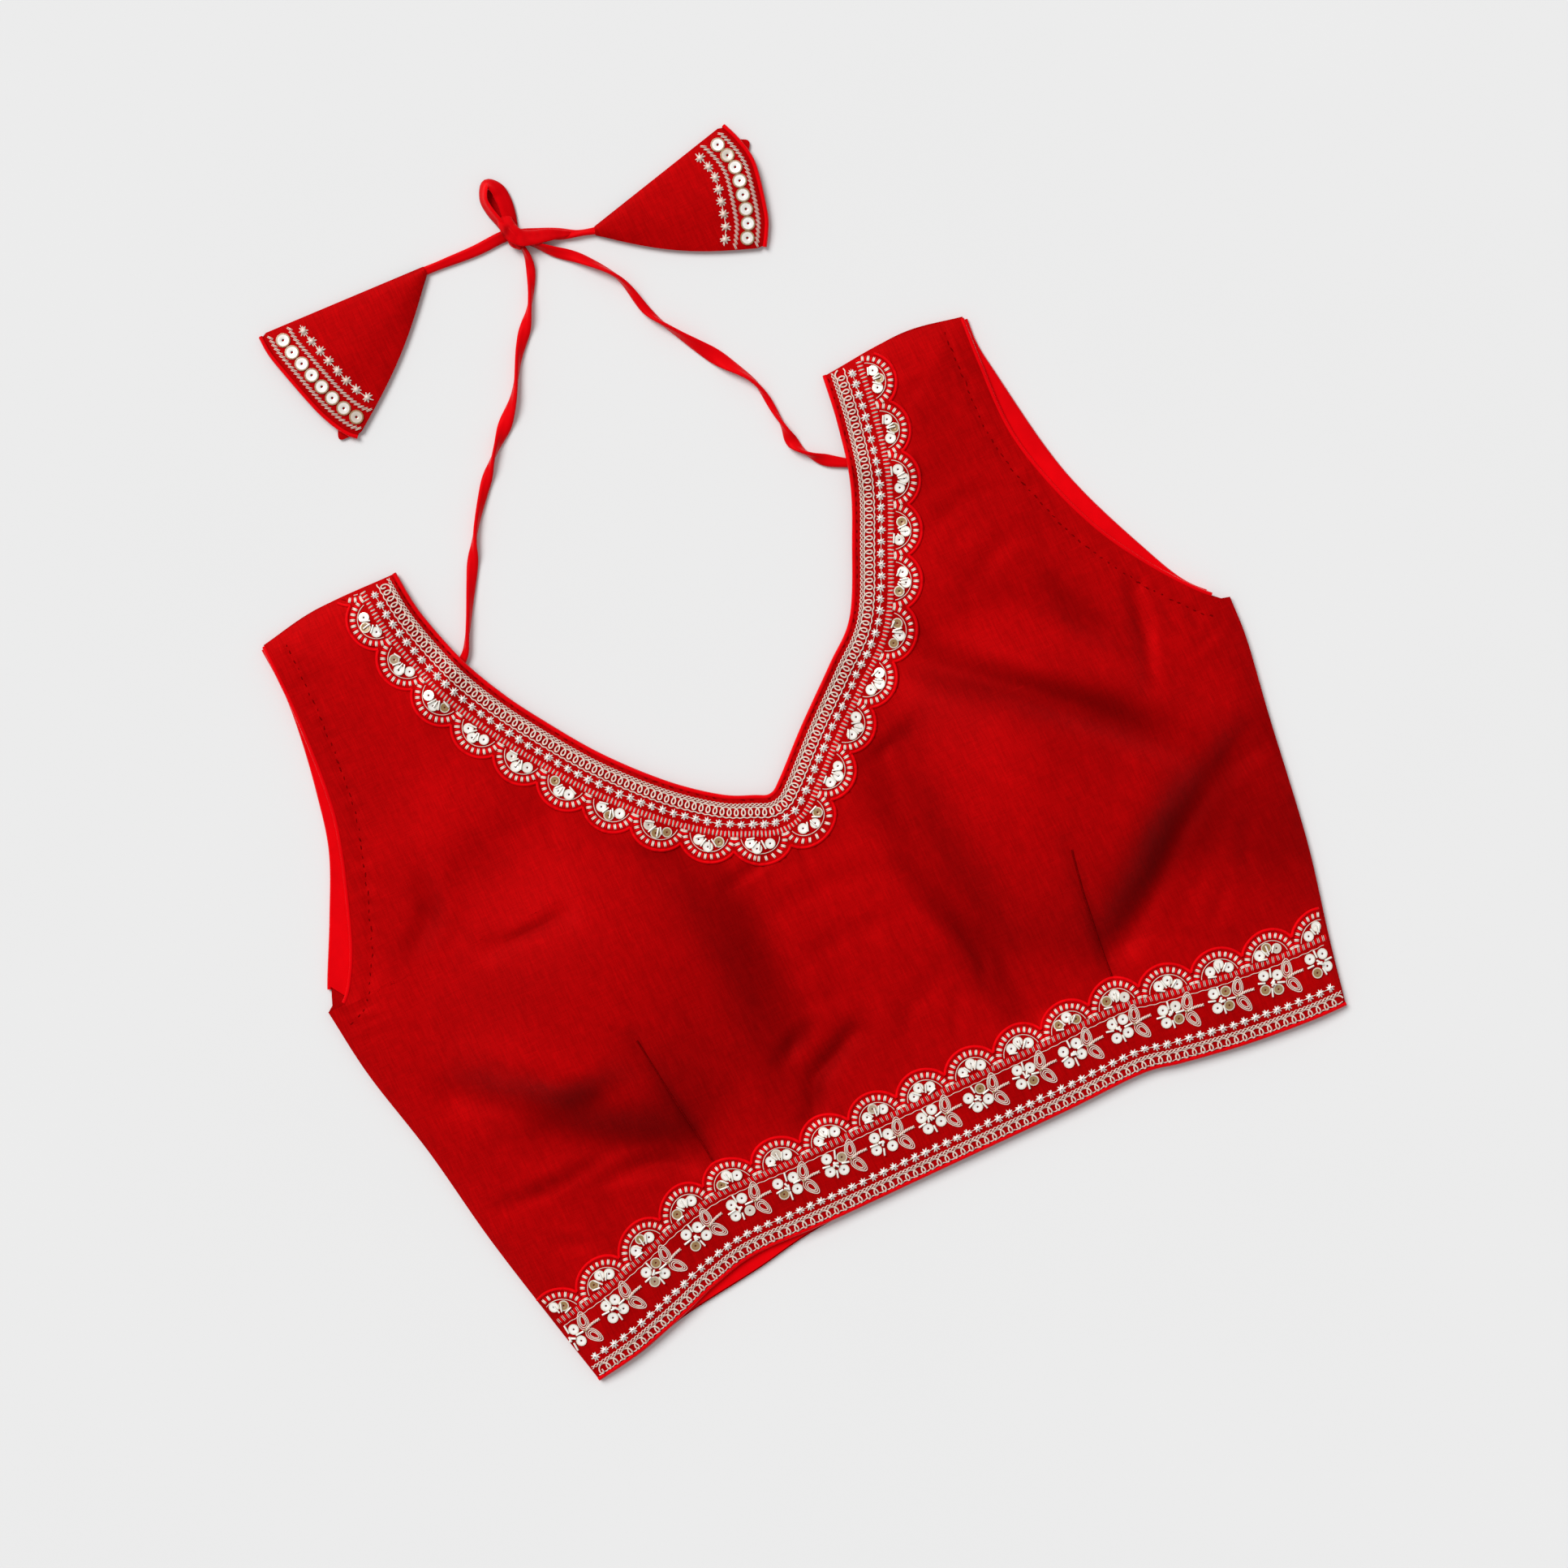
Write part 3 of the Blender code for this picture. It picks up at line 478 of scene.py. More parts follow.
def smooth_line(points, per_span=24):
    """A dense smooth line through the points."""
    spots = np.asarray(points, float)
    padded = np.vstack((2 * spots[0] - spots[1], spots, 2 * spots[-1] - spots[-2]))
    line = []
    for before, start, end, after in zip(padded, padded[1:], padded[2:], padded[3:]):
        bend = 2 * before - 5 * start + 4 * end - after
        twist = 3 * start - before - 3 * end + after
        for step in range(per_span):
            t = step / per_span
            line.append(0.5 * (2 * start + (end - before) * t + bend * t ** 2 + twist * t ** 3))
    line.append(spots[-1])
    return np.array(line)


def lengths_along(line):
    steps = np.linalg.norm(np.diff(line, axis=0), axis=1)
    return np.concatenate(([0.0], np.cumsum(steps)))


def at_shares(line, shares):
    """Points of the line at shares, 0 to 1, of its length."""
    along = lengths_along(line)
    return between_rows(np.asarray(shares) * along[-1], along, line)


def between_rows(wanted, along, line):
    """The line's places where the numbers along it have the wanted values."""
    return np.stack([np.interp(wanted, along, column) for column in np.asarray(line).T], axis=-1)


def evenly(line, step):
    """The line again, with points one step apart."""
    count = max(2, round(lengths_along(line)[-1] / step))
    return at_shares(line, np.linspace(0, 1, count + 1))


def rightward(line):
    """The unit direction to the right at each point of the line."""
    ahead = np.gradient(line[:, :2], axis=0)
    ahead = ahead / np.maximum(np.linalg.norm(ahead, axis=1, keepdims=True), 1e-9)
    return np.stack((ahead[:, 1], -ahead[:, 0]), axis=1)


def moved_right(line, distance):
    """The line moved to the right of its direction, with mitred corners."""
    steps = np.diff(line, axis=0)
    steps = steps / np.linalg.norm(steps, axis=1, keepdims=True)
    before = np.vstack((steps[:1], steps))
    after = np.vstack((steps, steps[-1:]))
    ahead = before + after
    ahead = ahead / np.linalg.norm(ahead, axis=1, keepdims=True)
    mitre = distance / np.maximum(np.sum(ahead * after, axis=1), 0.5)
    right = np.stack((ahead[:, 1], -ahead[:, 0]), axis=1)
    return line + right * mitre[:, None]


def ends_moved(line, start, end):
    share = lengths_along(line)[:, None] / lengths_along(line)[-1]
    return line + (1 - share) * (start - line[0]) + share * (end - line[-1])


def near_line(line, x, y):
    """How far places are from a line of straight runs, on which side, and where along it."""
    line = np.asarray(line, float)
    lengths = lengths_along(line)
    nearest = np.full(np.shape(x), np.inf)
    side = np.zeros(np.shape(x))
    share = np.zeros(np.shape(x))
    for (ax, ay), (bx, by), before, after in zip(line[:-1], line[1:], lengths[:-1], lengths[1:]):
        run_x = bx - ax
        run_y = by - ay
        part = ((x - ax) * run_x + (y - ay) * run_y) / (run_x ** 2 + run_y ** 2)
        part = np.clip(part, 0.0, 1.0)
        off_x = x - ax - part * run_x
        off_y = y - ay - part * run_y
        distance = np.hypot(off_x, off_y)
        closer = distance < nearest
        nearest = np.where(closer, distance, nearest)
        side = np.where(closer, np.sign(run_x * off_y - run_y * off_x), side)
        share = np.where(closer, (before + part * (after - before)) / lengths[-1], share)
    return nearest, side, share


def in_metres(spots):
    """Pattern places (x, y, z) in millimetres, moved to the frame's axes in metres."""
    spots = np.asarray(spots, float)
    return (spots - (*BODICE_MIDDLE, 0.0)) * MM


def in_pattern(places):
    return np.asarray(places, float) / MM + (*BODICE_MIDDLE, 0.0)


# The cloth's cut edges

NECK_LINE = smooth_line(NECK_EDGE)
NECK_CUT = moved_right(NECK_LINE, PIPING_WIDTH)
NECK_VALLEY = int(np.argmin(NECK_CUT[:, 1]))


def half_of(line, middle, side):
    return line[middle:] if side == "right" else line[:middle + 1][::-1]


def half_edges(side, hem, hem_inset, armhole, neck, valley):
    """The edges of one half panel, each meeting the next: hem, seam, armhole, shoulder, neck."""
    hem_cut = moved_right(smooth_line(hem), -hem_inset)
    middle = int(np.argmin(np.abs(hem_cut[:, 0] - valley[0])))
    low = half_of(hem_cut, middle, side)
    low = ends_moved(low, np.array((valley[0], low[0, 1])), low[-1])
    arm = moved_right(smooth_line(armhole[side]), -OUTWARD[side] * PIPING_WIDTH)
    arm = np.vstack((armhole[side][0], arm[2:]))
    seam = smooth_line(SIDE_SEAM[side])
    seam = ends_moved(seam, low[-1], arm[0])
    shoulder = ends_moved(smooth_line(SHOULDER[side]), neck[-1], arm[-1])
    return low, seam, arm, shoulder, neck


FRONT_EDGES = {
    side: half_edges(
        side, FRONT_HEM, PIPING_WIDTH, FRONT_ARMHOLE, half_of(NECK_CUT, NECK_VALLEY, side),
        NECK_CUT[NECK_VALLEY],
    )
    for side in OUTWARD
}


def back_edges(side):
    neck = smooth_line(BACK_NECK[side]) + (OUTWARD[side] * SEAM_GAP / 2, 0)
    return half_edges(side, BACK_HEM, 0.0, BACK_ARMHOLE, neck, neck[0])


def between_edges(low, high, inner, outer, u, v):
    """Places at shares u and v of the patch between four edges that meet at their ends."""
    left = at_shares(inner, v)
    right = at_shares(outer, v)
    bottom = at_shares(low, u)
    top = at_shares(high, u)
    u = u[:, None]
    v = v[:, None]
    corners = (
        (1 - u) * (1 - v) * low[0] + u * (1 - v) * low[-1]
        + (1 - u) * v * high[0] + u * v * high[-1]
    )
    return (1 - v) * bottom + v * top + (1 - u) * left + u * right - corners


# Height of the front's underside

def cup_rise(cup, x, y):
    across = x - cup["apex"][0]
    up = y - cup["apex"][1]
    to_centre = np.sign(-cup["apex"][0])
    width = np.where(across * to_centre > 0, cup["inner"], cup["outer"])
    length = np.where(up > 0, cup["up"], cup["down"])
    reach = np.clip(1 - (across / width) ** 2 - (up / length) ** 2, 0.0, 1.0)
    return cup["height"] * reach ** CUP_POWER


def fold_drop(x, y):
    """The broad folds of the solid."""
    total = 0.0
    for line, width, rise in FOLDS:
        total = total + rise * np.exp(-(near_line(line, x, y)[0] / width) ** 2)
    return total


def crease_drop(x, y):
    """Finer creases, darts and the puckers beside the armhole seams."""
    total = 0.0
    for line, width, depth, beside in CREASES:
        distance, side, share = near_line(smooth_line(line, 6), x, y)
        fade = np.sin(np.pi * np.clip(share, 0.02, 0.98)) ** CREASE_FADE
        near = distance / width
        trough = -depth * np.exp(-near ** 2)
        ridge = abs(beside) * np.exp(-((near - RIDGE_AWAY) / RIDGE_WIDTH) ** 2) * (side * beside > 0)
        total = total + fade * (trough + ridge)
    for line in DARTS:
        distance, side, share = near_line(line, x, y)
        total = total - DART_DEPTH * np.exp(-(distance / DART_WIDTH) ** 2) * np.sqrt(share)
        total = total + DART_LIP * np.exp(-(distance / DART_LIP_WIDTH) ** 2) * (side > 0) * share
    for edges in FRONT_EDGES.values():
        arm = at_shares(edges[2], np.linspace(0, 1, 40))
        distance, _, share = near_line(arm, x, y)
        length = lengths_along(arm)[-1]
        sewn = np.exp(-((distance - ARMHOLE_SEWN) / SEWN_WIDTH) ** 2)
        beside = np.exp(-((distance - ARMHOLE_SEWN) / PUCKER_WIDTH) ** 2)
        wave = np.sin(share * length / PUCKER_PITCH + 1.7 * np.sin(share * length / 7.0))
        total = total - SEWN_DEPTH * sewn + PUCKER_RISE * beside * wave
    return total


def soft_wander(x, y):
    """Slight unevenness of limp cloth."""
    values = [
        sum(noise.noise((a / wide, b / high, seed)) * rise for wide, high, seed, rise in WANDERS)
        for a, b in zip(np.ravel(x), np.ravel(y))
    ]
    return np.reshape(values, np.shape(x))


def nearest_of(lines, x, y):
    return np.minimum.reduce([near_line(at_shares(line, SEAM_SHARES), x, y)[0] for line in lines])


def front_underside(x, y):
    """Millimetres over the table at pattern places."""
    halves = FRONT_EDGES.values()
    from_seam = nearest_of([line for _, seam, _, shoulder, _ in halves for line in (seam, shoulder)], x, y)
    from_open = nearest_of([line for low, _, arm, _, neck in halves for line in (low, arm, neck)], x, y)
    lift = 1 - np.exp(-from_seam / STRAP_REACH)
    inside = 1 - np.exp(-(np.minimum(from_seam, from_open) / BODY_REACH) ** 2)
    rise = lift * (STRAP_RISE - EDGE_DROP * np.exp(-from_open / EDGE_REACH)) + BODY_RISE * inside
    rise = rise + sum(cup_rise(cup, x, y) for cup in CUPS)
    rise = rise + lift * fold_drop(x, y)
    calm = 1 - np.exp(-from_open / CALM_REACH)
    rise = rise + lift * (crease_drop(x, y) + soft_wander(x, y) * calm)
    return SEAM_LEVEL + (rise + np.sqrt(rise ** 2 + SOFT_FLOOR)) / 2


# Node groups that several materials share

def add_node(tree, kind, inputs=None, **settings):
    """A node with its settings, and each input set to a value or linked to a socket."""
    node = tree.nodes.new(kind)
    for key, value in settings.items():
        setattr(node, key, value)
    for socket, value in (inputs or {}).items():
        if isinstance(value, bpy.types.NodeSocket):
            tree.links.new(value, node.inputs[socket])
        else:
            node.inputs[socket].default_value = value
    return node


def new_group(name, inputs, outputs):
    """An empty node group with named sockets."""
    group = bpy.data.node_groups.new(name, "ShaderNodeTree")
    for label, kind, value in inputs:
        socket = group.interface.new_socket(name=label, in_out="INPUT", socket_type=kind)
        if value is not None:
            socket.default_value = value
    for label, kind in outputs:
        group.interface.new_socket(name=label, in_out="OUTPUT", socket_type=kind)
    return group, group.nodes.new("NodeGroupInput"), group.nodes.new("NodeGroupOutput")


def stretched_noise(tree, coordinates, stretch, detail):
    """Noise drawn out along the axes, for threads."""
    mapping = add_node(tree, "ShaderNodeMapping", {"Vector": coordinates, "Scale": stretch})
    return add_node(
        tree, "ShaderNodeTexNoise",
        {"Vector": mapping.outputs["Vector"], "Scale": 1.0, "Detail": detail, "Roughness": 0.55},
    ).outputs["Fac"]


def math_node(tree, operation, first, second):
    return add_node(tree, "ShaderNodeMath", {0: first, 1: second}, operation=operation).outputs[0]


def weighted(tree, first, first_share, second, second_share):
    """The sum of two values, each times its own share."""
    one = math_node(tree, "MULTIPLY", first, first_share)
    other = math_node(tree, "MULTIPLY", second, second_share)
    return math_node(tree, "ADD", one, other)


THREAD_NOISES = (
    ((2300.0, 170.0, 120.0), 2.0), ((190.0, 2100.0, 120.0), 2.0), ((850.0, 64.0, 60.0), 3.0),
    ((130.0, 760.0, 60.0), 3.0),
)
MOTTLE_NOISES = (((30.0, 24.0, 30.0), 3.0), ((180.0, 120.0, 150.0), 2.0))


def thread_group():
    """Warp and weft threads with slubs, as a height and a shade."""
    name = "cloth_threads"
    if name in bpy.data.node_groups:
        return bpy.data.node_groups[name]
    group, start, end = new_group(
        name,
        (("Vector", "NodeSocketVector", None), ("Slub", "NodeSocketFloat", 1.0)),
        (("Height", "NodeSocketFloat"), ("Shade", "NodeSocketFloat")),
    )
    vector = start.outputs["Vector"]
    warp, weft, slubs, cross = [stretched_noise(group, vector, *row) for row in THREAD_NOISES]
    fine = weighted(group, warp, 0.5, weft, 0.3)
    coarse = weighted(group, slubs, 0.65, cross, 0.35)
    wanted = math_node(group, "MULTIPLY", coarse, start.outputs["Slub"])
    group.links.new(math_node(group, "ADD", fine, wanted), end.inputs["Height"])
    group.links.new(weighted(group, fine, 0.7, coarse, 0.45), end.inputs["Shade"])
    return group


def mottle_group():
    """Soft unevenness of colour and gloss over the cloth."""
    name = "cloth_mottle"
    if name in bpy.data.node_groups:
        return bpy.data.node_groups[name]
    group, start, end = new_group(
        name, (("Vector", "NodeSocketVector", None),), (("Value", "NodeSocketFloat"),),
    )
    vector = start.outputs["Vector"]
    broad, small = [stretched_noise(group, vector, *row) for row in MOTTLE_NOISES]
    group.links.new(weighted(group, broad, 0.65, small, 0.35), end.inputs["Value"])
    return group


def placed_group(tree, group, inputs):
    return add_node(tree, "ShaderNodeGroup", inputs, node_tree=group)


# Materials

def new_material(name):
    material = bpy.data.materials.new(name)
    material.use_nodes = True
    tree = material.node_tree
    place = add_node(tree, "ShaderNodeTexCoord").outputs["Object"]
    return material, tree, tree.nodes["Principled BSDF"], place


def mixed(tree, share, first, second, blend="MIX"):
    """A colour between two others."""
    inputs = {0: share, 6: first, 7: second}
    return add_node(tree, "ShaderNodeMix", inputs, data_type="RGBA", blend_type=blend).outputs[2]


def ranged(tree, value, low, high, to_low=0.0, to_high=1.0):
    return add_node(
        tree, "ShaderNodeMapRange",
        {"Value": value, "From Min": low, "From Max": high, "To Min": to_low, "To Max": to_high},
    ).outputs["Result"]


def attribute(tree, name):
    return add_node(tree, "ShaderNodeAttribute", attribute_name=name).outputs["Fac"]


def scaled(colour, amount):
    return (*[channel * amount for channel in colour], 1.0)


def dress(tree, shader, links, bump=None, **constants):
    """Link colours and values to a shader's sockets, bump its normal and set its constants."""
    for label, value in links.items():
        tree.links.new(value, shader.inputs[label])
    if bump:
        strength, distance, height = bump
        inputs = {"Strength": strength, "Distance": distance, "Height": height}
        node = add_node(tree, "ShaderNodeBump", inputs)
        tree.links.new(node.outputs["Normal"], shader.inputs["Normal"])
    for label, value in constants.items():
        shader.inputs[label.replace("_", " ")].default_value = value


# Each cloth's slubs, darkest and lightest threads, how dark its painted shade goes, roughness, bump and
# shader constants
CLOTHS = {
    "shell_silk_cloth": {
        "slub": 0.5, "threads": (0.74, 1.18), "hollow": 0.12, "rough": (0.44, 0.58),
        "bump": (0.55, 0.00022), "constants": {
            "Metallic": 0.15, "Specular_IOR_Level": 0.2, "Specular_Tint": (1.0, 0.02, 0.02, 1.0),
            "Sheen_Weight": 0.08, "Sheen_Roughness": 0.4, "Sheen_Tint": (1.0, 0.01, 0.01, 1.0),
        },
    },
    "lining_satin_cloth": {
        "slub": 0.0, "threads": (1.0, 1.0), "hollow": 0.35, "rough": (0.34, 0.46),
        "bump": (0.3, 0.0001), "constants": {
            "Specular_IOR_Level": 0.3, "Specular_Tint": (1.0, 0.02, 0.02, 1.0),
            "Sheen_Weight": 0.1, "Sheen_Roughness": 0.4, "Sheen_Tint": (1.0, 0.02, 0.02, 1.0),
        },
    },
}


def cloth_material(name, colour):
    """Cloth with fine threads, a mottle, a soft sheen, and painted shade that darkens its colour where a
    piece marks it.
    """
    if name in bpy.data.materials:
        return bpy.data.materials[name]
    look = CLOTHS[name]
    darkest, lightest = look["threads"]
    material, tree, shader, place = new_material(name)
    threads = placed_group(tree, thread_group(), {"Vector": place, "Slub": look["slub"]})
    mottle = placed_group(tree, mottle_group(), {"Vector": place}).outputs["Value"]
    shade = ranged(tree, threads.outputs["Shade"], 0.42, 0.74)
    base = mixed(tree, shade, scaled(colour, darkest), scaled(colour, lightest))
    patch = ranged(tree, mottle, 0.3, 0.7)
    patches = mixed(tree, patch, (0.86, 0.86, 0.86, 1.0), (1.1, 1.1, 1.1, 1.0))
    base = mixed(tree, 1.0, base, patches, "MULTIPLY")
    # Painted shade: the colour goes towards a darker copy of itself where the piece's painted shade value
    # is high
    base = mixed(tree, attribute(tree, "hollow"), base, scaled(colour, look["hollow"]))
    links = {"Base Color": base, "Roughness": ranged(tree, patch, 0.0, 1.0, *look["rough"])}
    dress(tree, shader, links, (*look["bump"], threads.outputs["Height"]), **look["constants"])
    return material


def sewing_and_shade_material(colour):
    """Dark red sewing thread, sunk in its own puckers; its dark colour is partly painted shade of the
    puckers and the darts.
    """
    name = "sewing_thread"
    if name in bpy.data.materials:
        return bpy.data.materials[name]
    material, tree, shader, place = new_material(name)
    twist = ranged(tree, stretched_noise(tree, place, (1500.0,) * 3, 2.0), 0.35, 0.65)
    base = mixed(tree, twist, scaled(colour, 0.26), scaled(colour, 0.50))
    dress(
        tree, shader, {"Base Color": base}, Roughness=0.7, Specular_IOR_Level=0.1,
        Specular_Tint=(1.0, 0.02, 0.02, 1.0),
    )
    return material


def thread_material(colour):
    """Pale gold thread with its own fine twist."""
    name = "gold_thread"
    if name in bpy.data.materials:
        return bpy.data.materials[name]
    material, tree, shader, place = new_material(name)
    fine = stretched_noise(tree, place, (2600.0,) * 3, 2.0)
    patches = stretched_noise(tree, place, (220.0,) * 3, 2.0)
    shade = ranged(tree, fine, 0.35, 0.65)
    base = mixed(tree, shade, scaled(colour, 0.70), scaled(colour, 1.0))
    base = mixed(tree, ranged(tree, patches, 0.56, 0.74, 0.0, 0.30), base, (0.55, 0.26, 0.10, 1.0))
    links = {"Base Color": base, "Roughness": ranged(tree, shade, 0.0, 1.0, 0.5, 0.34)}
    dress(tree, shader, links, (0.5, 0.0001, fine), Metallic=0.08, Specular_IOR_Level=0.5)
    return material


def sequin_material(name, colour, rim_colour=(0.80, 0.74, 0.62, 1.0)):
    """Silvered plastic discs, some browner than others, with an edge of another colour."""
    if name in bpy.data.materials:
        return bpy.data.materials[name]
    material, tree, shader, place = new_material(name)
    rim = attribute(tree, "rim")
    scratches = stretched_noise(tree, place, (900.0,) * 3, 3.0)
    base = scaled(colour, 1.0)
    for share, other in (
        (ranged(tree, attribute(tree, "tint"), 0.68, 0.80), (0.36, 0.21, 0.08, 1.0)),
        (ranged(tree, rim, 0.74, 0.86, 0.0, 0.9), rim_colour),
        (ranged(tree, rim, 0.24, 0.16, 0.0, 0.85), (0.10, 0.03, 0.02, 1.0)),
        (ranged(tree, scratches, 0.6, 0.75, 0.0, 0.22), scaled(colour, 0.45)),
    ):
        base = mixed(tree, share, base, other)
    links = {"Base Color": base, "Roughness": ranged(tree, scratches, 0.3, 0.7, 0.16, 0.36)}
    dress(tree, shader, links, Metallic=0.12, Specular_IOR_Level=0.6)
    return material


def floor_material(colour):
    material, tree, shader, place = new_material("pale_table")
    grain = stretched_noise(tree, place, (6.0,) * 3, 2.0)
    base = mixed(tree, grain, scaled(colour, 0.99), scaled(colour, 1.01))
    dress(tree, shader, {"Base Color": base}, Roughness=0.9, Specular_IOR_Level=0.1)
    return material


# Ways to make a piece

def show(name, mesh, material, nodes=()):
    """A piece of the object: it rides on the frame and may stand for some of its nodes."""
    if not mesh.materials:
        mesh.materials.append(material)
    piece = bpy.data.objects.new(name, mesh)
    bpy.context.scene.collection.objects.link(piece)
    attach(piece, "root")
    if nodes:
        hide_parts(*nodes)
    return piece


def set_values(mesh, label, values):
    mesh.attributes.new(label, "FLOAT", "POINT").data.foreach_set("value", values.astype(np.float32))


def mesh_of(name, bm, sharp=50):
    bmesh.ops.recalc_face_normals(bm, faces=bm.faces[:])
    mesh = bpy.data.meshes.new(name)
    bm.to_mesh(mesh)
    bm.free()
    mesh.shade_smooth()
    mesh.set_sharp_from_angle(angle=math.radians(sharp))
    return mesh


def bent_grid(bm, columns, rows, places_of):
    """A grid whose points go to the places that a function gives for shares across and up."""
    made = bmesh.ops.create_grid(bm, x_segments=columns, y_segments=rows, size=0.5)["verts"]
    shares = np.array([vert.co[:2] for vert in made]) + 0.5
    for vert, spot in zip(made, in_metres(places_of(shares[:, 0], shares[:, 1]))):
        vert.co = spot


def raised(bm, wall):
    """The open cloth in a bmesh made a closed wall of that thickness."""
    bmesh.ops.remove_doubles(bm, verts=bm.verts[:], dist=1e-6)
    new = bmesh.ops.extrude_face_region(bm, geom=bm.faces[:])["geom"]
    new = [item for item in new if isinstance(item, bmesh.types.BMVert)]
    bmesh.ops.translate(bm, verts=new, vec=(0, 0, wall * MM))


def with_heights(places, height):
    level = height(places[:, 0], places[:, 1]) if callable(height) else height
    return np.column_stack((places, np.broadcast_to(level, len(places))))


def panel(name, edges, columns, body_rows, strap_rows, height, wall):
    """One half of the bodice for each set of edges, joined where they meet."""
    bm = bmesh.new()
    for low, seam, arm, shoulder, neck in edges:
        centre = np.stack((low[0], neck[0]))
        level = np.stack((neck[0], seam[-1]))
        for patch, rows in (
            ((low, level, centre, seam), body_rows), ((level, shoulder, neck, arm), strap_rows),
        ):
            bent_grid(
                bm, columns, rows, lambda u, v: with_heights(between_edges(*patch, u, v), height),
            )
    raised(bm, wall)
    return mesh_of(name, bm)


def strip(name, first, second, across, height, wall):
    """A strip of cloth between two lines of the same number of points."""
    bm = bmesh.new()
    shares = lengths_along(first) / lengths_along(first)[-1]

    def places(u, v):
        one, other = [between_rows(v, shares, line) for line in (first, second)]
        return with_heights(one + (other - one) * u[:, None], height)

    bent_grid(bm, across, len(first) * 2, places)
    raised(bm, wall)
    return mesh_of(name, bm)


TUBE_SIDES = 20
TUBE_CREASE_WIDTH = 0.38
TUBE_TIP = 0.35
TUBE_TIP_GROWTH = 0.45
CORD_CREASE = 0.25


def tube_mesh(name, path, sides, ups, widths, thicknesses, crease=CORD_CREASE, blunt=False):
    """A soft flat tube along a path, with a crease along its middle; all in millimetres."""
    bm = bmesh.new()
    steps = len(path) - 1

    def places(u, v):
        row = np.clip(np.round(v * steps).astype(int), 0, steps)
        turn = 2 * np.pi * u
        across = np.cos(turn)
        pinch = 1 - crease * np.exp(-(across / TUBE_CREASE_WIDTH) ** 2)
        to_end = np.minimum(row, steps if blunt else steps - row)
        close = np.minimum(1.0, TUBE_TIP + to_end * TUBE_TIP_GROWTH)
        along_side = across * widths[row] / 2 * close
        along_up = np.sin(turn) * thicknesses[row] / 2 * pinch * close
        return path[row] + sides[row] * along_side[:, None] + ups[row] * along_up[:, None]

    bent_grid(bm, TUBE_SIDES, steps, places)
    bmesh.ops.remove_doubles(bm, verts=bm.verts[:], dist=1e-7)
    bmesh.ops.holes_fill(bm, edges=[edge for edge in bm.edges if edge.is_boundary], sides=0)
    return mesh_of(name, bm, sharp=80)


def turned_frames(path, rolls):
    """Directions across and out of a ribbon that runs along a path and rolls about it."""
    ahead = np.gradient(path, axis=0)
    ahead = ahead / np.linalg.norm(ahead, axis=1, keepdims=True)
    level = np.cross(ahead, (0.0, 0.0, 1.0))
    level = level / np.maximum(np.linalg.norm(level, axis=1, keepdims=True), 1e-9)
    upward = np.cross(level, ahead)
    cosine = np.cos(rolls)[:, None]
    sine = np.sin(rolls)[:, None]
    return level * cosine + upward * sine, upward * cosine - level * sine


def strands(name, groups, material, nodes=()):
    """Round threads as one mesh: groups of lines, each with a radius, in millimetres."""
    curve = bpy.data.curves.new(name, "CURVE")
    curve.dimensions = "3D"
    curve.bevel_depth = MM
    curve.bevel_resolution = 1
    curve.use_fill_caps = True
    for lines, radius in groups:
        for line in lines:
            spline = curve.splines.new("POLY")
            spline.points.add(len(line) - 1)
            spots = np.column_stack((in_metres(line), np.ones(len(line))))
            spline.points.foreach_set("co", spots.ravel())
            spline.points.foreach_set("radius", np.full(len(line), float(radius)))
    holder = bpy.data.objects.new(name + "_line", curve)
    bpy.context.scene.collection.objects.link(holder)
    bpy.context.view_layer.update()
    graph = bpy.context.evaluated_depsgraph_get()
    mesh = bpy.data.meshes.new_from_object(holder.evaluated_get(graph))
    mesh.name = name
    mesh.materials.clear()
    mesh.shade_smooth()
    bpy.data.objects.remove(holder)
    bpy.data.curves.remove(curve)
    show(name, mesh, material, nodes)


# Small repeated forms, each made once and then copied into one mesh

def form_of(bm):
    """A small form's points, faces and how far out each point is."""
    bmesh.ops.recalc_face_normals(bm, faces=bm.faces[:])
    bm.verts.ensure_lookup_table()
    spots = np.array([vert.co[:] for vert in bm.verts])
    faces = [[vert.index for vert in face.verts] for face in bm.faces]
    out = np.hypot(spots[:, 0], spots[:, 1])
    bm.free()
    return spots, faces, out / max(out.max(), 1e-9)


ALONG_X = Matrix.Rotation(math.pi / 2, 3, "Y")
SEQUIN_STEPS = 14
STAR_RADIUS = 1.2
STAR_FLATNESS = 0.75
STAR_SPIKES = 8
SPIKE_RADII = (0.36, 0.14)
BUGLE_SIDES = 7
BUGLE_BEVEL = 0.06
SHARP_FORM = 60


def sequin_form(width, hole, dish):
    """A thin cupped disc with a hole, turned from its section."""
    bm = bmesh.new()
    edge = width / 2
    section = (
        (hole / 2, 0.10), (hole / 2 + 0.12, 0.20), (edge * 0.55, 0.14), (edge * 0.86, 0.14 + dish),
        (edge, 0.10 + dish), (edge * 0.9, 0.0),
    )
    verts = [bm.verts.new((x, 0.0, z)) for x, z in section]
    edges = [bm.edges.new(pair) for pair in zip(verts, verts[1:] + verts[:1])]
    bmesh.ops.spin(
        bm, geom=verts + edges, cent=(0, 0, 0), axis=(0, 0, 1), angle=2 * math.pi, steps=SEQUIN_STEPS,
        use_merge=True,
    )
    bmesh.ops.remove_doubles(bm, verts=bm.verts[:], dist=1e-5)
    return form_of(bm)


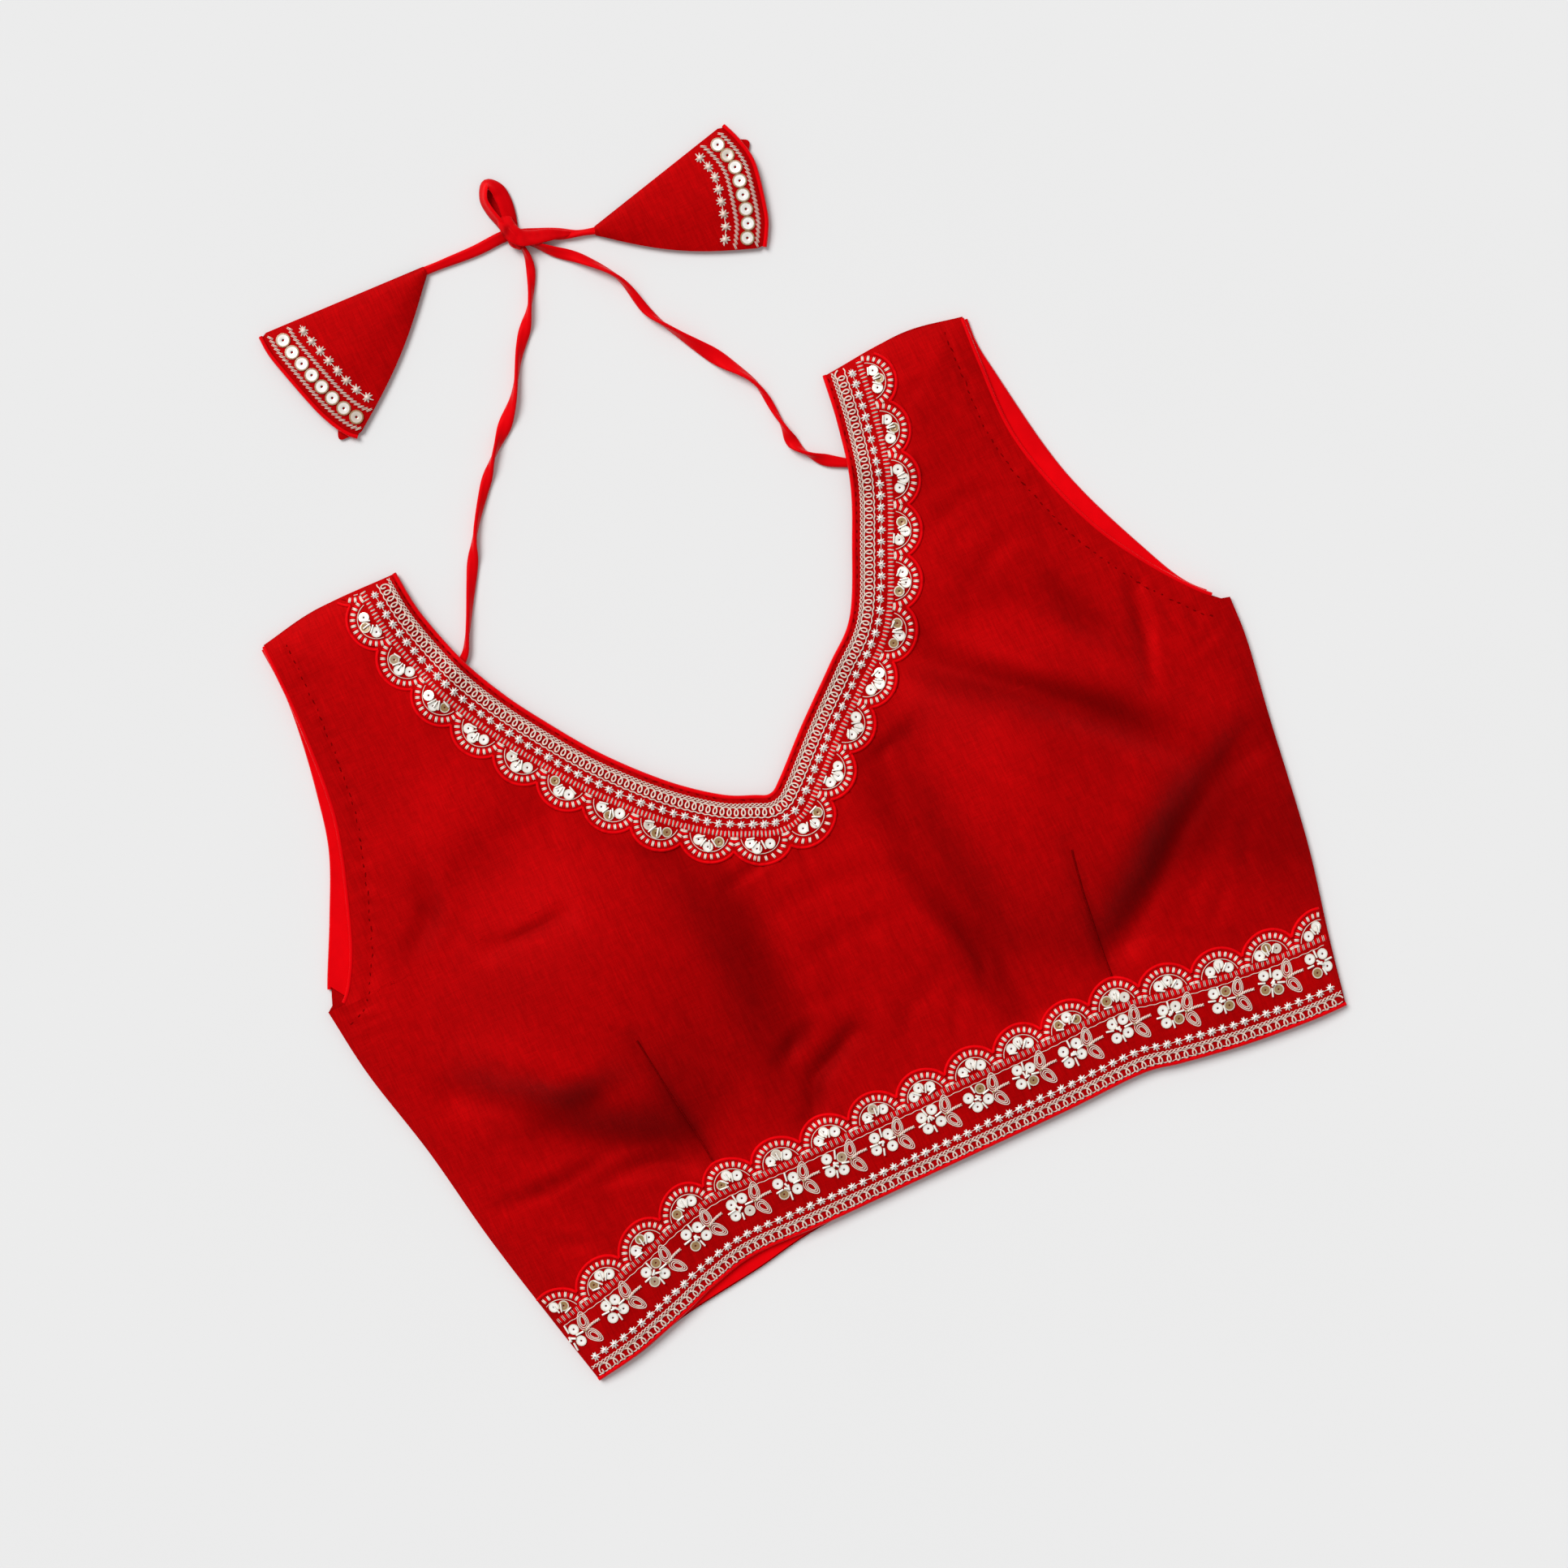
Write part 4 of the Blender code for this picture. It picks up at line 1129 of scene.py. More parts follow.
def star_form():
    """A worked bead: a low dome with stitches that stand out round it."""
    bm = bmesh.new()
    dome = bmesh.ops.create_icosphere(bm, subdivisions=1, radius=STAR_RADIUS)["verts"]
    bmesh.ops.scale(bm, verts=dome, vec=(1.0, 1.0, STAR_FLATNESS))
    picker = random.Random(4)
    wide, narrow = SPIKE_RADII
    for k in range(STAR_SPIKES):
        reach = picker.uniform(0.8, 1.15)
        spike = bmesh.ops.create_cone(
            bm, cap_ends=True, segments=4, radius1=wide, radius2=narrow, depth=reach,
        )["verts"]
        bmesh.ops.rotate(bm, verts=spike, cent=(0, 0, 0), matrix=ALONG_X)
        bmesh.ops.translate(bm, verts=spike, vec=(1.0 + reach / 2, 0, -0.2))
        angle = 2 * math.pi * k / STAR_SPIKES + picker.uniform(-0.15, 0.15)
        turn = Matrix.Rotation(angle, 3, "Z")
        bmesh.ops.rotate(bm, verts=spike, cent=(0, 0, 0), matrix=turn)
    return form_of(bm)


def stitch_form():
    """One raised stitch, one millimetre long, wide and high, to be stretched."""
    bm = bmesh.new()
    made = bmesh.ops.create_uvsphere(bm, u_segments=6, v_segments=5, radius=0.5)["verts"]
    bmesh.ops.rotate(bm, verts=made, cent=(0, 0, 0), matrix=ALONG_X)
    return form_of(bm)


def bugle_form():
    """A short tube bead along x, one millimetre long, to be stretched."""
    bm = bmesh.new()
    made = bmesh.ops.create_cone(
        bm, cap_ends=True, segments=BUGLE_SIDES, radius1=0.5, radius2=0.5, depth=1.0,
    )["verts"]
    bmesh.ops.rotate(bm, verts=made, cent=(0, 0, 0), matrix=ALONG_X)
    ends = [edge for edge in bm.edges if abs(edge.verts[0].co.x - edge.verts[1].co.x) < 1e-6]
    bmesh.ops.bevel(
        bm, geom=ends, offset=BUGLE_BEVEL, offset_type="OFFSET", affect="EDGES", segments=1,
        profile=0.5, material=-1,
    )
    return form_of(bm)


class Surface:
    """The top of pieces already made, for what is laid on them."""

    def __init__(self, *names):
        self.trees = []
        for name in names:
            bm = bmesh.new()
            bm.from_mesh(bpy.data.objects[name].data)
            self.trees.append(BVHTree.FromBMesh(bm))
            bm.free()

    def under(self, x, y):
        """Height and upward direction at a pattern place."""
        start = Vector(in_metres((x, y, 500.0)))
        best = None
        for tree in self.trees:
            spot, normal, _, _ = tree.ray_cast(start, Vector((0, 0, -1)))
            if spot is not None and (best is None or spot.z > best[0]):
                best = (spot.z, normal)
        return (best[0] / MM, best[1]) if best else (None, Vector((0, 0, 1)))

    def heights(self, spots):
        """Heights under a line of places, filled in where the line leaves the pieces."""
        found = [self.under(x, y)[0] for x, y in spots]
        known = [k for k, value in enumerate(found) if value is not None]
        if not known:
            raise RuntimeError("a line of trim lies off the cloth")
        return np.interp(np.arange(len(found)), known, [found[k] for k in known])

    def laid(self, line, lift):
        """A line of places laid on the surface, with a lift in millimetres."""
        return np.column_stack((line, self.heights(line) + lift))


def scatter(name, form, copies, surface, material):
    """Copies of a small form as one mesh: (x, y, turn, length, width, height, lift, tint) each."""
    spots, faces, out = form
    places = []
    joined = []
    tints = []
    for x, y, turn, length, width, height, lift, tint in copies:
        level, normal = surface.under(x, y)
        if level is None:
            continue
        if normal.z < 0:
            normal = -normal
        ahead = Vector((math.cos(turn), math.sin(turn), 0.0))
        ahead = (ahead - normal * ahead.dot(normal)).normalized()
        across = normal.cross(ahead)
        axes = np.array((ahead * length, across * width, normal * height))
        first = len(places) * len(spots)
        places.append(spots @ axes + (x, y, level + lift))
        joined += [[first + k for k in face] for face in faces]
        tints.append(np.full(len(spots), tint))
    mesh = bpy.data.meshes.new(name)
    mesh.from_pydata(in_metres(np.concatenate(places)), [], joined)
    mesh.update()
    mesh.shade_smooth()
    mesh.set_sharp_from_angle(angle=math.radians(SHARP_FORM))
    set_values(mesh, "tint", np.concatenate(tints))
    set_values(mesh, "rim", np.tile(out, len(places)))
    show(name, mesh, material)


# Threads along a line in the plane

ROPE_STRANDS = 2
ROPE_LIFT = 0.1


def lay_rope(surface, line, width, pitch):
    """Strands twisted round a line that lies on the surface."""
    fine = evenly(line, pitch / 7)
    along = lengths_along(fine)
    right = rightward(fine)
    laid = []
    for k in range(ROPE_STRANDS):
        turn = 2 * np.pi * (along / pitch + k / ROPE_STRANDS)
        shift = width / 4 * np.cos(turn)
        spots = surface.laid(fine + right * shift[:, None], ROPE_LIFT)
        spots[:, 2] += width / 4 * (1 + np.sin(turn))
        laid.append(spots)
    return laid


LOOP_POINTS = 14
LOOP_STRETCH = 1.2
LOOP_RISE = 0.35
LOOP_LIFT = 0.3


def lay_loops(surface, line, radius, pitch):
    """A thread that goes round in loops as it runs along a line on the surface."""
    count = round(lengths_along(line)[-1] / pitch)
    turns = np.linspace(0, count, count * LOOP_POINTS + 1)
    middle = at_shares(line, turns / count)
    right = rightward(middle)
    ahead = np.stack((-right[:, 1], right[:, 0]), axis=1)
    angle = 2 * np.pi * turns
    spots = middle + right * (LOOP_STRETCH * radius * np.sin(angle))[:, None]
    spots = surface.laid(spots + ahead * (radius * np.cos(angle))[:, None], LOOP_LIFT)
    spots[:, 2] += LOOP_RISE * (1 + np.sin(angle + 0.8))
    return spots


def waved(line, size, pitch):
    """A slightly wavy thread."""
    fine = evenly(line, pitch / 8)
    wave = size * np.sin(2 * np.pi * lengths_along(fine) / pitch)
    return fine + rightward(fine) * wave[:, None]


# Borders

NECK_BASE_LINE = moved_right(NECK_LINE, NECK_BASE)
NECK_ALONG = lengths_along(NECK_BASE_LINE)
NECK_PITCH = NECK_ALONG[-1] / NECK_SCALLOPS
HEM_LINE = smooth_line(FRONT_HEM)
HEM_SHARE = (HEM_LINE[:, 0] - HEM_LINE[0, 0]) / (HEM_LINE[-1, 0] - HEM_LINE[0, 0])
HEM_LEANS = HEM_LEAN[0] + (HEM_LEAN[1] - HEM_LEAN[0]) * HEM_SHARE
HEM_ALONG = HEM_LINE[:, 0] + HEM_LEANS * HEM_BASE


def run_on(along, lengths, column):
    """A table's value, carried straight on past its ends."""
    first = (column[3] - column[0]) / (lengths[3] - lengths[0])
    last = (column[-1] - column[-4]) / (lengths[-1] - lengths[-4])
    past = np.minimum(along - lengths[0], 0) * first + np.maximum(along - lengths[-1], 0) * last
    return np.interp(along, lengths, column) + past


def neck_place(along, inward):
    """A place on the neck border: how far along its base line and how far in from the edge."""
    near, far = [
        np.stack([run_on(along, NECK_ALONG, column) for column in line.T], axis=-1)
        for line in (NECK_LINE, NECK_BASE_LINE)
    ]
    return near + (far - near) * (np.asarray(inward)[..., None] / NECK_BASE)


def hem_place(along, inward):
    lean = np.interp(along, HEM_ALONG, HEM_LEANS)
    step = np.stack((lean, np.ones(np.shape(lean))), axis=-1)
    return between_rows(along, HEM_ALONG, HEM_LINE) + step * np.asarray(inward)[..., None]


# Rows are distances in from the edge; ring, rope and tick have a pitch or width and a size or gap
BORDERS = {
    "neck": {
        "place": neck_place, "reach": (BORDER_TRIM, NECK_ALONG[-1] - BORDER_TRIM),
        "slant": NECK_SLANT, "pitch": NECK_PITCH, "cusp": NECK_FIRST_CUSP, "centre": NECK_CENTRE,
        "ring": (3.3, 1.80), "rope": (2.3, 4.0), "tick": (1.9, 0.38),
        "rows": {"rope": 4.5, "rings": 7.5, "thread": 10.4, "stars": 13.5, "ticks": 18.0},
    },
    "hem": {
        "place": hem_place, "reach": (HEM_ALONG[0] + BORDER_TRIM, HEM_ALONG[-1] - BORDER_TRIM),
        "slant": (0.0, 0.0), "pitch": HEM_PITCH, "cusp": HEM_FIRST_CUSP, "centre": HEM_CENTRE,
        "ring": (4.05, 1.90), "rope": (2.4, 4.2), "tick": (2.6, 0.72),
        "rows": {
            "thread": 2.4, "rings": 4.2, "rope": 7.0, "stars": 10.6, "vine": 23.6, "ticks": 33.2,
        },
    },
}

# In a scallop: the arc, the stitches that stand on it, and where its beads gather
ARC_RADIUS = 9.0
ARC_HALF = 1.35
SPOKES = 13
SPOKE_RADIUS = 11.3
SPOKE_HALF = 1.42
SEQUIN_RISE = 2.0
BUGLE_RISE = 1.2
SCALLOP_TRIM = 24.0

# Heights of the embroidery over the cloth, and the radii of its threads
CHAIN_RADII = {"rope": 0.24, "thread": 0.29, "loops": 0.19, "linking": 0.15, "arcs": 0.18}
LOOP_STEP = 0.32
STITCH_LIFT = 0.3
GROUND_LIFT = 0.15
GROUND_CELLS = 14
SLANT_POWER = 12
GROUND_WALL = 0.5
SCALLOP_CORD = 0.78
STAR_PITCH = 5.35
SEQUIN_HOLE = 0.75
SEQUIN_DISH = 0.12

# The hem's vine: its flowers, and each leaf's place, lean and length beside its flower
VINE_FLOWERS = 17
VINE_PITCH = 24.4
VINE_FIRST = 3.0 - VINE_PITCH * 8
VINE_LEAN = 12.5
VINE_THREAD_ROW = 30.2
LEAVES = ((9.0, 3.9, 1.3, 8.8), (9.9, -4.8, -1.08, 8.8))
LEAF_WIDTH = 4.9
LEAF_RINGS = (1.0, 0.76, 0.52)
STEM = ((8.2, -0.4), (12, 0.4), (16.0, 0.4))


def scallop_rise(border, along):
    """How far in from the finished edge the border's scalloped edge lies."""
    turn = 2 * (((along - border["cusp"]) / border["pitch"]) % 1.0) - 1
    half = border["pitch"] / 2
    return border["centre"] + np.sqrt(SCALLOP_RADIUS ** 2 - (half * turn) ** 2)


def scallop_middles(border):
    """Where along the border each scallop has its middle."""
    start, end = border["reach"]
    first = border["cusp"] + border["pitch"] / 2
    count = int((end - first) / border["pitch"]) + 1
    middles = first + border["pitch"] * np.arange(-1, count + 2)
    return [m for m in middles if start - 12 < m < end + 12]


def reach_at(border, inward):
    """Where the border starts and ends at a distance in from the finished edge."""
    start, end = border["reach"]
    before, after = border["slant"]
    return start + before * inward, end + after * inward


def row_of(border, inward, margin, count):
    """Places along one row, and the numbers along the border where they lie."""
    start, end = reach_at(border, inward)
    dense = np.linspace(start + margin, end - margin, count)
    return border["place"](dense, np.full(count, float(inward))), dense


def row_line(border, inward, margin):
    return row_of(border, inward, margin, 1200)[0]


def spaced(border, inward, pitch, margin=1.0):
    """Where along the border things stand that are evenly spaced in one row."""
    places, dense = row_of(border, inward, margin, 1500)
    walked = lengths_along(places)
    count = max(2, round(walked[-1] / pitch))
    return np.interp((np.arange(count) + 0.5) / count * walked[-1], walked, dense)


def heading(border, along, inward):
    """The direction of the border, and the direction in from the edge, as angles."""
    ahead = border["place"](along + 0.2, inward) - border["place"](along - 0.2, inward)
    inner = border["place"](along, inward + 0.2) - border["place"](along, inward - 0.2)
    return math.atan2(ahead[1], ahead[0]), math.atan2(inner[1], inner[0])


def make_ground(name, border, surface, material, node):
    """The border's own cloth, cut along the scallops and laid on the front."""
    start, end = border["reach"]
    columns = int((end - start) / (border["pitch"] / GROUND_CELLS))
    bm = bmesh.new()

    def places(u, v):
        along = start + (end - start) * u
        inward = BORDER_START + (scallop_rise(border, along) - BORDER_START) * v
        before, after = border["slant"]
        along = along + inward * (before * (1 - u) ** SLANT_POWER + after * u ** SLANT_POWER)
        spots = border["place"](along, inward)
        return surface.laid(spots, GROUND_LIFT)

    bent_grid(bm, columns, GROUND_CELLS, places)
    raised(bm, GROUND_WALL)
    show(name, mesh_of(name, bm), material, (node,))


def scallop_places(border, middle, radii, angles):
    """Places in a scallop, by how far from its middle and at what angle from straight in."""
    along = middle + np.asarray(radii) * np.sin(angles)
    inward = border["centre"] + np.asarray(radii) * np.cos(angles)
    return border["place"](along, inward)


def in_reach(border, along, margin=0.0):
    start, end = reach_at(border, SCALLOP_TRIM)
    return start + margin <= along <= end - margin


def scallop_arc(border, middle, radius, angles, margin=0.0):
    """The lines, none or one, of a scallop's arc as far as the border reaches."""
    alongs = middle + radius * np.sin(angles)
    kept = [k for k, along in enumerate(alongs) if in_reach(border, along, margin)]
    return [scallop_places(border, middle, radius, angles)[kept]] if len(kept) > 2 else []


def scallop_work(border, picker):
    """Outlines, arcs, spokes, sequins and bugle beads of every scallop."""
    work = {"outlines": [], "arcs": [], "spokes": [], "sequins": [], "bugles": []}
    half_angle = math.asin(border["pitch"] / 2 / SCALLOP_RADIUS)
    outline = np.linspace(-half_angle, half_angle, 22)
    arc = np.linspace(-ARC_HALF, ARC_HALF, 26)
    place, centre = border["place"], border["centre"]
    for middle in scallop_middles(border):
        work["outlines"] += scallop_arc(border, middle, SCALLOP_RADIUS, outline)
        work["arcs"] += scallop_arc(border, middle, ARC_RADIUS, arc, 1)
        for k in range(SPOKES):
            angle = -SPOKE_HALF + 2 * SPOKE_HALF * k / (SPOKES - 1)
            if in_reach(border, middle + SPOKE_RADIUS * math.sin(angle), 0.8):
                x, y = scallop_places(border, middle, SPOKE_RADIUS, angle)
                near = scallop_places(border, middle, SPOKE_RADIUS - 1.0, angle)
                work["spokes"].append((x, y, math.atan2(y - near[1], x - near[0])))
        shift = picker.uniform(-0.25, 0.25)
        for angle in (-1.08, 0.0, 1.08):
            angle = angle + shift + picker.uniform(-0.1, 0.1)
            reach = picker.uniform(4.7, 5.3)
            along = middle + reach * math.sin(angle)
            if in_reach(border, along, 1.5):
                work["sequins"].append(place(along, centre + SEQUIN_RISE + 0.9 * reach * math.cos(angle)))
        for angle in (-0.52, 0.52, 1.4 * picker.choice((-1, 1)), 0.05):
            angle = angle + shift + picker.uniform(-0.15, 0.15)
            reach = picker.uniform(3.6, 4.6)
            x, y = place(
                middle + reach * math.sin(angle), centre + BUGLE_RISE + reach * math.cos(angle),
            )
            near = place(middle, centre + BUGLE_RISE)
            if in_reach(border, middle + 5.5 * math.sin(angle), 1.5):
                work["bugles"].append((x, y, math.atan2(y - near[1], x - near[0])))
    return work


def double_stitches(x, y, turn, length, gap, width):
    """Two raised threads side by side."""
    side_x = -math.sin(turn) * gap / 2
    side_y = math.cos(turn) * gap / 2
    return [
        (x + way * side_x, y + way * side_y, turn, length, width, 0.6, STITCH_LIFT, 0.0)
        for way in (1, -1)
    ]


def tick_work(border, picker):
    """Pairs of stitches along the scallops' feet, with a satin stitch between each two pairs."""
    stitches = []
    satin_stitches = []
    pitch, gap = border["tick"]
    row = border["rows"]["ticks"]
    for along in spaced(border, row, pitch):
        x, y = border["place"](along, row)
        turn = heading(border, along, row)[1] + picker.uniform(-0.12, 0.12)
        stitches += double_stitches(x, y, turn, picker.uniform(2.6, 3.4), gap, 0.36)
    for along in spaced(border, row, pitch) + pitch / 2:
        if in_reach(border, along, 0.5):
            x, y = border["place"](along, row)
            satin_stitches.append((x, y, heading(border, along, row)[1], 3.1, 1.0, 0.7, 0.15, 0.0))
    return stitches, satin_stitches


def spoke_work(spokes, picker):
    """Pairs of stitches round each scallop, with a satin stitch between each two pairs."""
    stitches = []
    satin_stitches = []
    for x, y, turn in spokes:
        stitches += double_stitches(x, y, turn, picker.uniform(2.5, 3.0), 0.62, 0.68)
    for (ax, ay, a_turn), (bx, by, b_turn) in zip(spokes, spokes[1:]):
        if math.hypot(ax - bx, ay - by) < 3.4:
            turn = math.atan2(
                math.sin(a_turn) + math.sin(b_turn), math.cos(a_turn) + math.cos(b_turn),
            )
            satin_stitches.append(((ax + bx) / 2, (ay + by) / 2, turn, 2.6, 1.15, 0.6, 0.15, 0.0))
    return stitches, satin_stitches


def sequin_at(x, y, size, lowest, picker):
    spin = picker.uniform(0, 6.28)
    return x, y, spin, size, size, 1.0, picker.uniform(lowest, 0.6), picker.random()


def make_border_work(name, border, surface, cloths, trims):
    """Everything that is sewn on a border apart from the hem's vine and the bugle beads."""
    picker = random.Random(len(name))
    rows = border["rows"]
    silver = sequin_material("silver_sequin", trims.silver)
    gold = thread_material(trims.thread)
    satin = cloth_material("lining_satin_cloth", cloths.satin)
    ring_pitch, ring_radius = border["ring"]
    rings = row_line(border, rows["rings"], 2.2)
    work = scallop_work(border, picker)
    lines = {
        "rope": lay_rope(surface, row_line(border, rows["rope"], 0.6), *border["rope"]),
        "thread": [surface.laid(waved(row_line(border, rows["thread"], 1.0), 0.22, 3.3), 0.4)],
        "loops": [
            lay_loops(surface, rings, radius, ring_pitch)
            for radius in (ring_radius, ring_radius - LOOP_STEP)
        ],
        "linking": [surface.laid(row_line(border, rows["stars"], 3.0), 0.25)],
        "arcs": [surface.laid(evenly(line, 0.9), 0.35) for line in work["arcs"]],
    }
    groups = [(lines[part], radius) for part, radius in CHAIN_RADII.items()]
    strands(name + "_chain", groups, gold)
    outlines = [surface.laid(evenly(line, 1.0), 0.25) for line in work["outlines"]]
    strands(name + "_scallop_edge", ((outlines, SCALLOP_CORD),), satin)

    ticks, tick_satins = tick_work(border, picker)
    spokes, spoke_satins = spoke_work(work["spokes"], picker)
    form = stitch_form()
    scatter(name + "_stitches", form, ticks + spokes, surface, gold)
    satins = tick_satins + spoke_satins
    scatter(name + "_satin_stitches", form, satins, surface, satin)

    sequins = [sequin_at(x, y, picker.uniform(0.95, 1.05), 0.25, picker) for x, y in work["sequins"]]
    form = sequin_form(trims.sequin / MM, SEQUIN_HOLE, SEQUIN_DISH)
    scatter(name + "_sequins", form, sequins, surface, silver)
    stars = []
    for along in spaced(border, rows["stars"], STAR_PITCH, 2.5):
        x, y = border["place"](along, rows["stars"] + picker.uniform(-0.2, 0.2))
        size = picker.uniform(1.0, 1.16)
        stars.append((x, y, picker.uniform(0, 6.28), size, size, size, 0.5, 0.3 * picker.random()))
    scatter(name + "_star_beads", star_form(), stars, surface, silver)
    return [
        (x, y, turn, picker.uniform(3.6, 4.6), 0.9, 0.9, 0.95, 0.3 * picker.random())
        for x, y, turn in work["bugles"]
    ]


def oval(middle, turn, length, width):
    """A closed oval loop of places."""
    angle = np.linspace(0, 2 * np.pi, 19)
    along = length / 2 * np.cos(angle)
    across = width / 2 * np.sin(angle) * (1 - 0.25 * np.cos(angle))
    cosine, sine = math.cos(turn), math.sin(turn)
    return np.column_stack((
        middle[0] + along * cosine - across * sine, middle[1] + along * sine + across * cosine,
    ))


def make_vine(border, surface, trims, bugles):
    """The hem's running vine: sequin flowers, looped leaves and twisted stems."""
    picker = random.Random(9)
    gold = thread_material(trims.thread)
    silver = sequin_material("silver_sequin", trims.silver)
    row = border["rows"]["vine"]
    sequins, beads, loops, stems = [], [], [], []
    for k in range(VINE_FLOWERS):
        x = VINE_FIRST + VINE_PITCH * k
        along = x + float(np.interp(x, HEM_ALONG, HEM_LEANS)) * VINE_LEAN
        if not in_reach(border, along, -0.5):
            continue
        middle = border["place"](along, row)
        turn = heading(border, along, row)[0]
        cosine, sine = math.cos(turn), math.sin(turn)

        def beside(across, up):
            return middle[0] + across * cosine - up * sine, middle[1] + across * sine + up * cosine

        spin = picker.uniform(-0.3, 0.3)
        for petal in range(4):
            angle = spin + math.pi / 4 + petal * math.pi / 2 + picker.uniform(-0.15, 0.15)
            reach = picker.uniform(4.1, 5.0)
            place = beside(reach * math.cos(angle), reach * math.sin(angle))
            sequins.append(sequin_at(*place, 1.03, 0.3, picker))
            angle += math.pi / 4
            place = beside(4.6 * math.cos(angle), 4.6 * math.sin(angle))
            length = picker.uniform(3.4, 4.4)
            bugles.append((*place, turn + angle, length, 1.0, 1.0, 0.9, 0.3 * picker.random()))
        for bead in range(3):
            place = beside(picker.uniform(-1, 1), picker.uniform(-1, 1))
            angle = picker.uniform(0, 3.14)
            bugles.append((*place, angle, 2.6, 1.1, 1.1, 1.3, 0.3 * picker.random()))
        if in_reach(border, along + 10):
            beads.append((*beside(7.6, -0.6), 0.0, 1.5, 1.5, 1.3, 0.5, 1.0))
            for across, up, lean, size in LEAVES:
                leaf = beside(across, up)
                for share in LEAF_RINGS:
                    ring = oval(leaf, turn + lean, size * share, LEAF_WIDTH * share ** 1.2)
                    loops.append(surface.laid(ring, 0.35))
            stem = np.array([beside(*place) for place in STEM])
            stems += lay_rope(surface, smooth_line(stem, 10), 1.5, 2.6)
    start = surface.laid(waved(row_line(border, VINE_THREAD_ROW, 3.0), 0.15, 5.0), 0.3)
    strands("hem_vine", ((loops, 0.24), (stems, 0.34), ([start], 0.16)), gold)
    form = sequin_form(trims.sequin / MM, SEQUIN_HOLE, SEQUIN_DISH)
    scatter("hem_flower_sequins", form, sequins, surface, silver)
    scatter("hem_vine_beads", stitch_form(), beads, surface, silver)


# Tassels

def tassel_spots(tassel, across, along):
    """Places on the flattened cone: across from the upper side, along from the tip."""
    tip = at_shares(np.array(tassel["tip"], float), across)
    mouth = at_shares(smooth_line(tassel["mouth"]), across)
    side = np.array(tassel["mouth"][-1]) - np.array(tassel["tip"][1])
    side = side / np.linalg.norm(side)
    out = np.array((side[1], -side[0])) * np.sign(tassel["mouth"][0][0])
    bulge = tassel["bulge"] * np.sin(np.pi * along) * across ** 2
    return tip + (mouth - tip) * along[:, None] + out * bulge[:, None]


def tassel_top(across, along):
    crown = TASSEL_TIP_HEIGHT + (TASSEL_CROWN - TASSEL_TIP_HEIGHT) * along
    return TASSEL_SIDE + (crown - TASSEL_SIDE) * np.abs(np.sin(np.pi * across)) ** TASSEL_ROUND


def tassel_form(side):
    """The folded cone: round its section, out to the mouth and back inside."""
    tassel = TASSELS[side]
    bm = bmesh.new()

    def places(u, v):
        out = v < TASSEL_OUTSIDE
        back = (v - TASSEL_OUTSIDE) / (1 - TASSEL_OUTSIDE)
        along = np.where(out, v / TASSEL_OUTSIDE, 1 - back * (1 - TASSEL_HOLLOW_FROM))
        inset = np.where(out, 0.0, TASSEL_WALL)
        over = u >= 0.5
        across = np.where(over, 2 - 2 * u, 2 * u)
        start = tassel_spots(tassel, np.zeros(len(u)), along)
        end = tassel_spots(tassel, np.ones(len(u)), along)
        edge = inset / np.linalg.norm(end - start, axis=1)
        across = edge + (1 - 2 * edge) * across
        spots = tassel_spots(tassel, across, along)
        top = tassel_top(across, along) - inset
        ripple = TASSEL_RIPPLE * np.sin(across * 9 + along * 4) * np.sin(np.pi * across) * along
        return np.column_stack((spots, np.where(over, top + ripple, inset)))

    bent_grid(bm, *TASSEL_GRID, places)
    bmesh.ops.remove_doubles(bm, verts=bm.verts[:], dist=1e-7)
    bmesh.ops.holes_fill(bm, edges=[edge for edge in bm.edges if edge.is_boundary], sides=0)
    return mesh_of(f"tassel_{side}_cone", bm)


def tassel_behind(side):
    """The bit of the cone's other layer that shows past its mouth, with a ragged corner."""
    low, high, reach = TASSELS[side]["behind"]
    across = np.linspace(low, high, 24)
    mouth = tassel_spots(TASSELS[side], across, np.ones(24))
    away = OUTWARD[side]
    turn = np.linspace(0, 1, 24)
    out = reach * np.sin(np.pi * turn) ** 0.7 * (0.62 + 0.38 * np.cos(9 * turn + 2))
    outer = mouth - rightward(mouth) * (away * out)[:, None]
    inner = mouth + rightward(mouth) * away * BEHIND_INWARD
    return strip(f"tassel_{side}_behind", inner, outer, 8, BEHIND_LEVEL, BEHIND_WALL)


def tassel_row(side, inward, low, high):
    """A line on the cone's top, a distance in from its mouth."""
    tassel = TASSELS[side]
    across = np.linspace(low, high, 60)
    mouth = tassel_spots(tassel, across, np.ones(60))
    tip = tassel_spots(tassel, across, np.zeros(60))
    return tassel_spots(tassel, across, 1 - inward / np.linalg.norm(mouth - tip, axis=1))


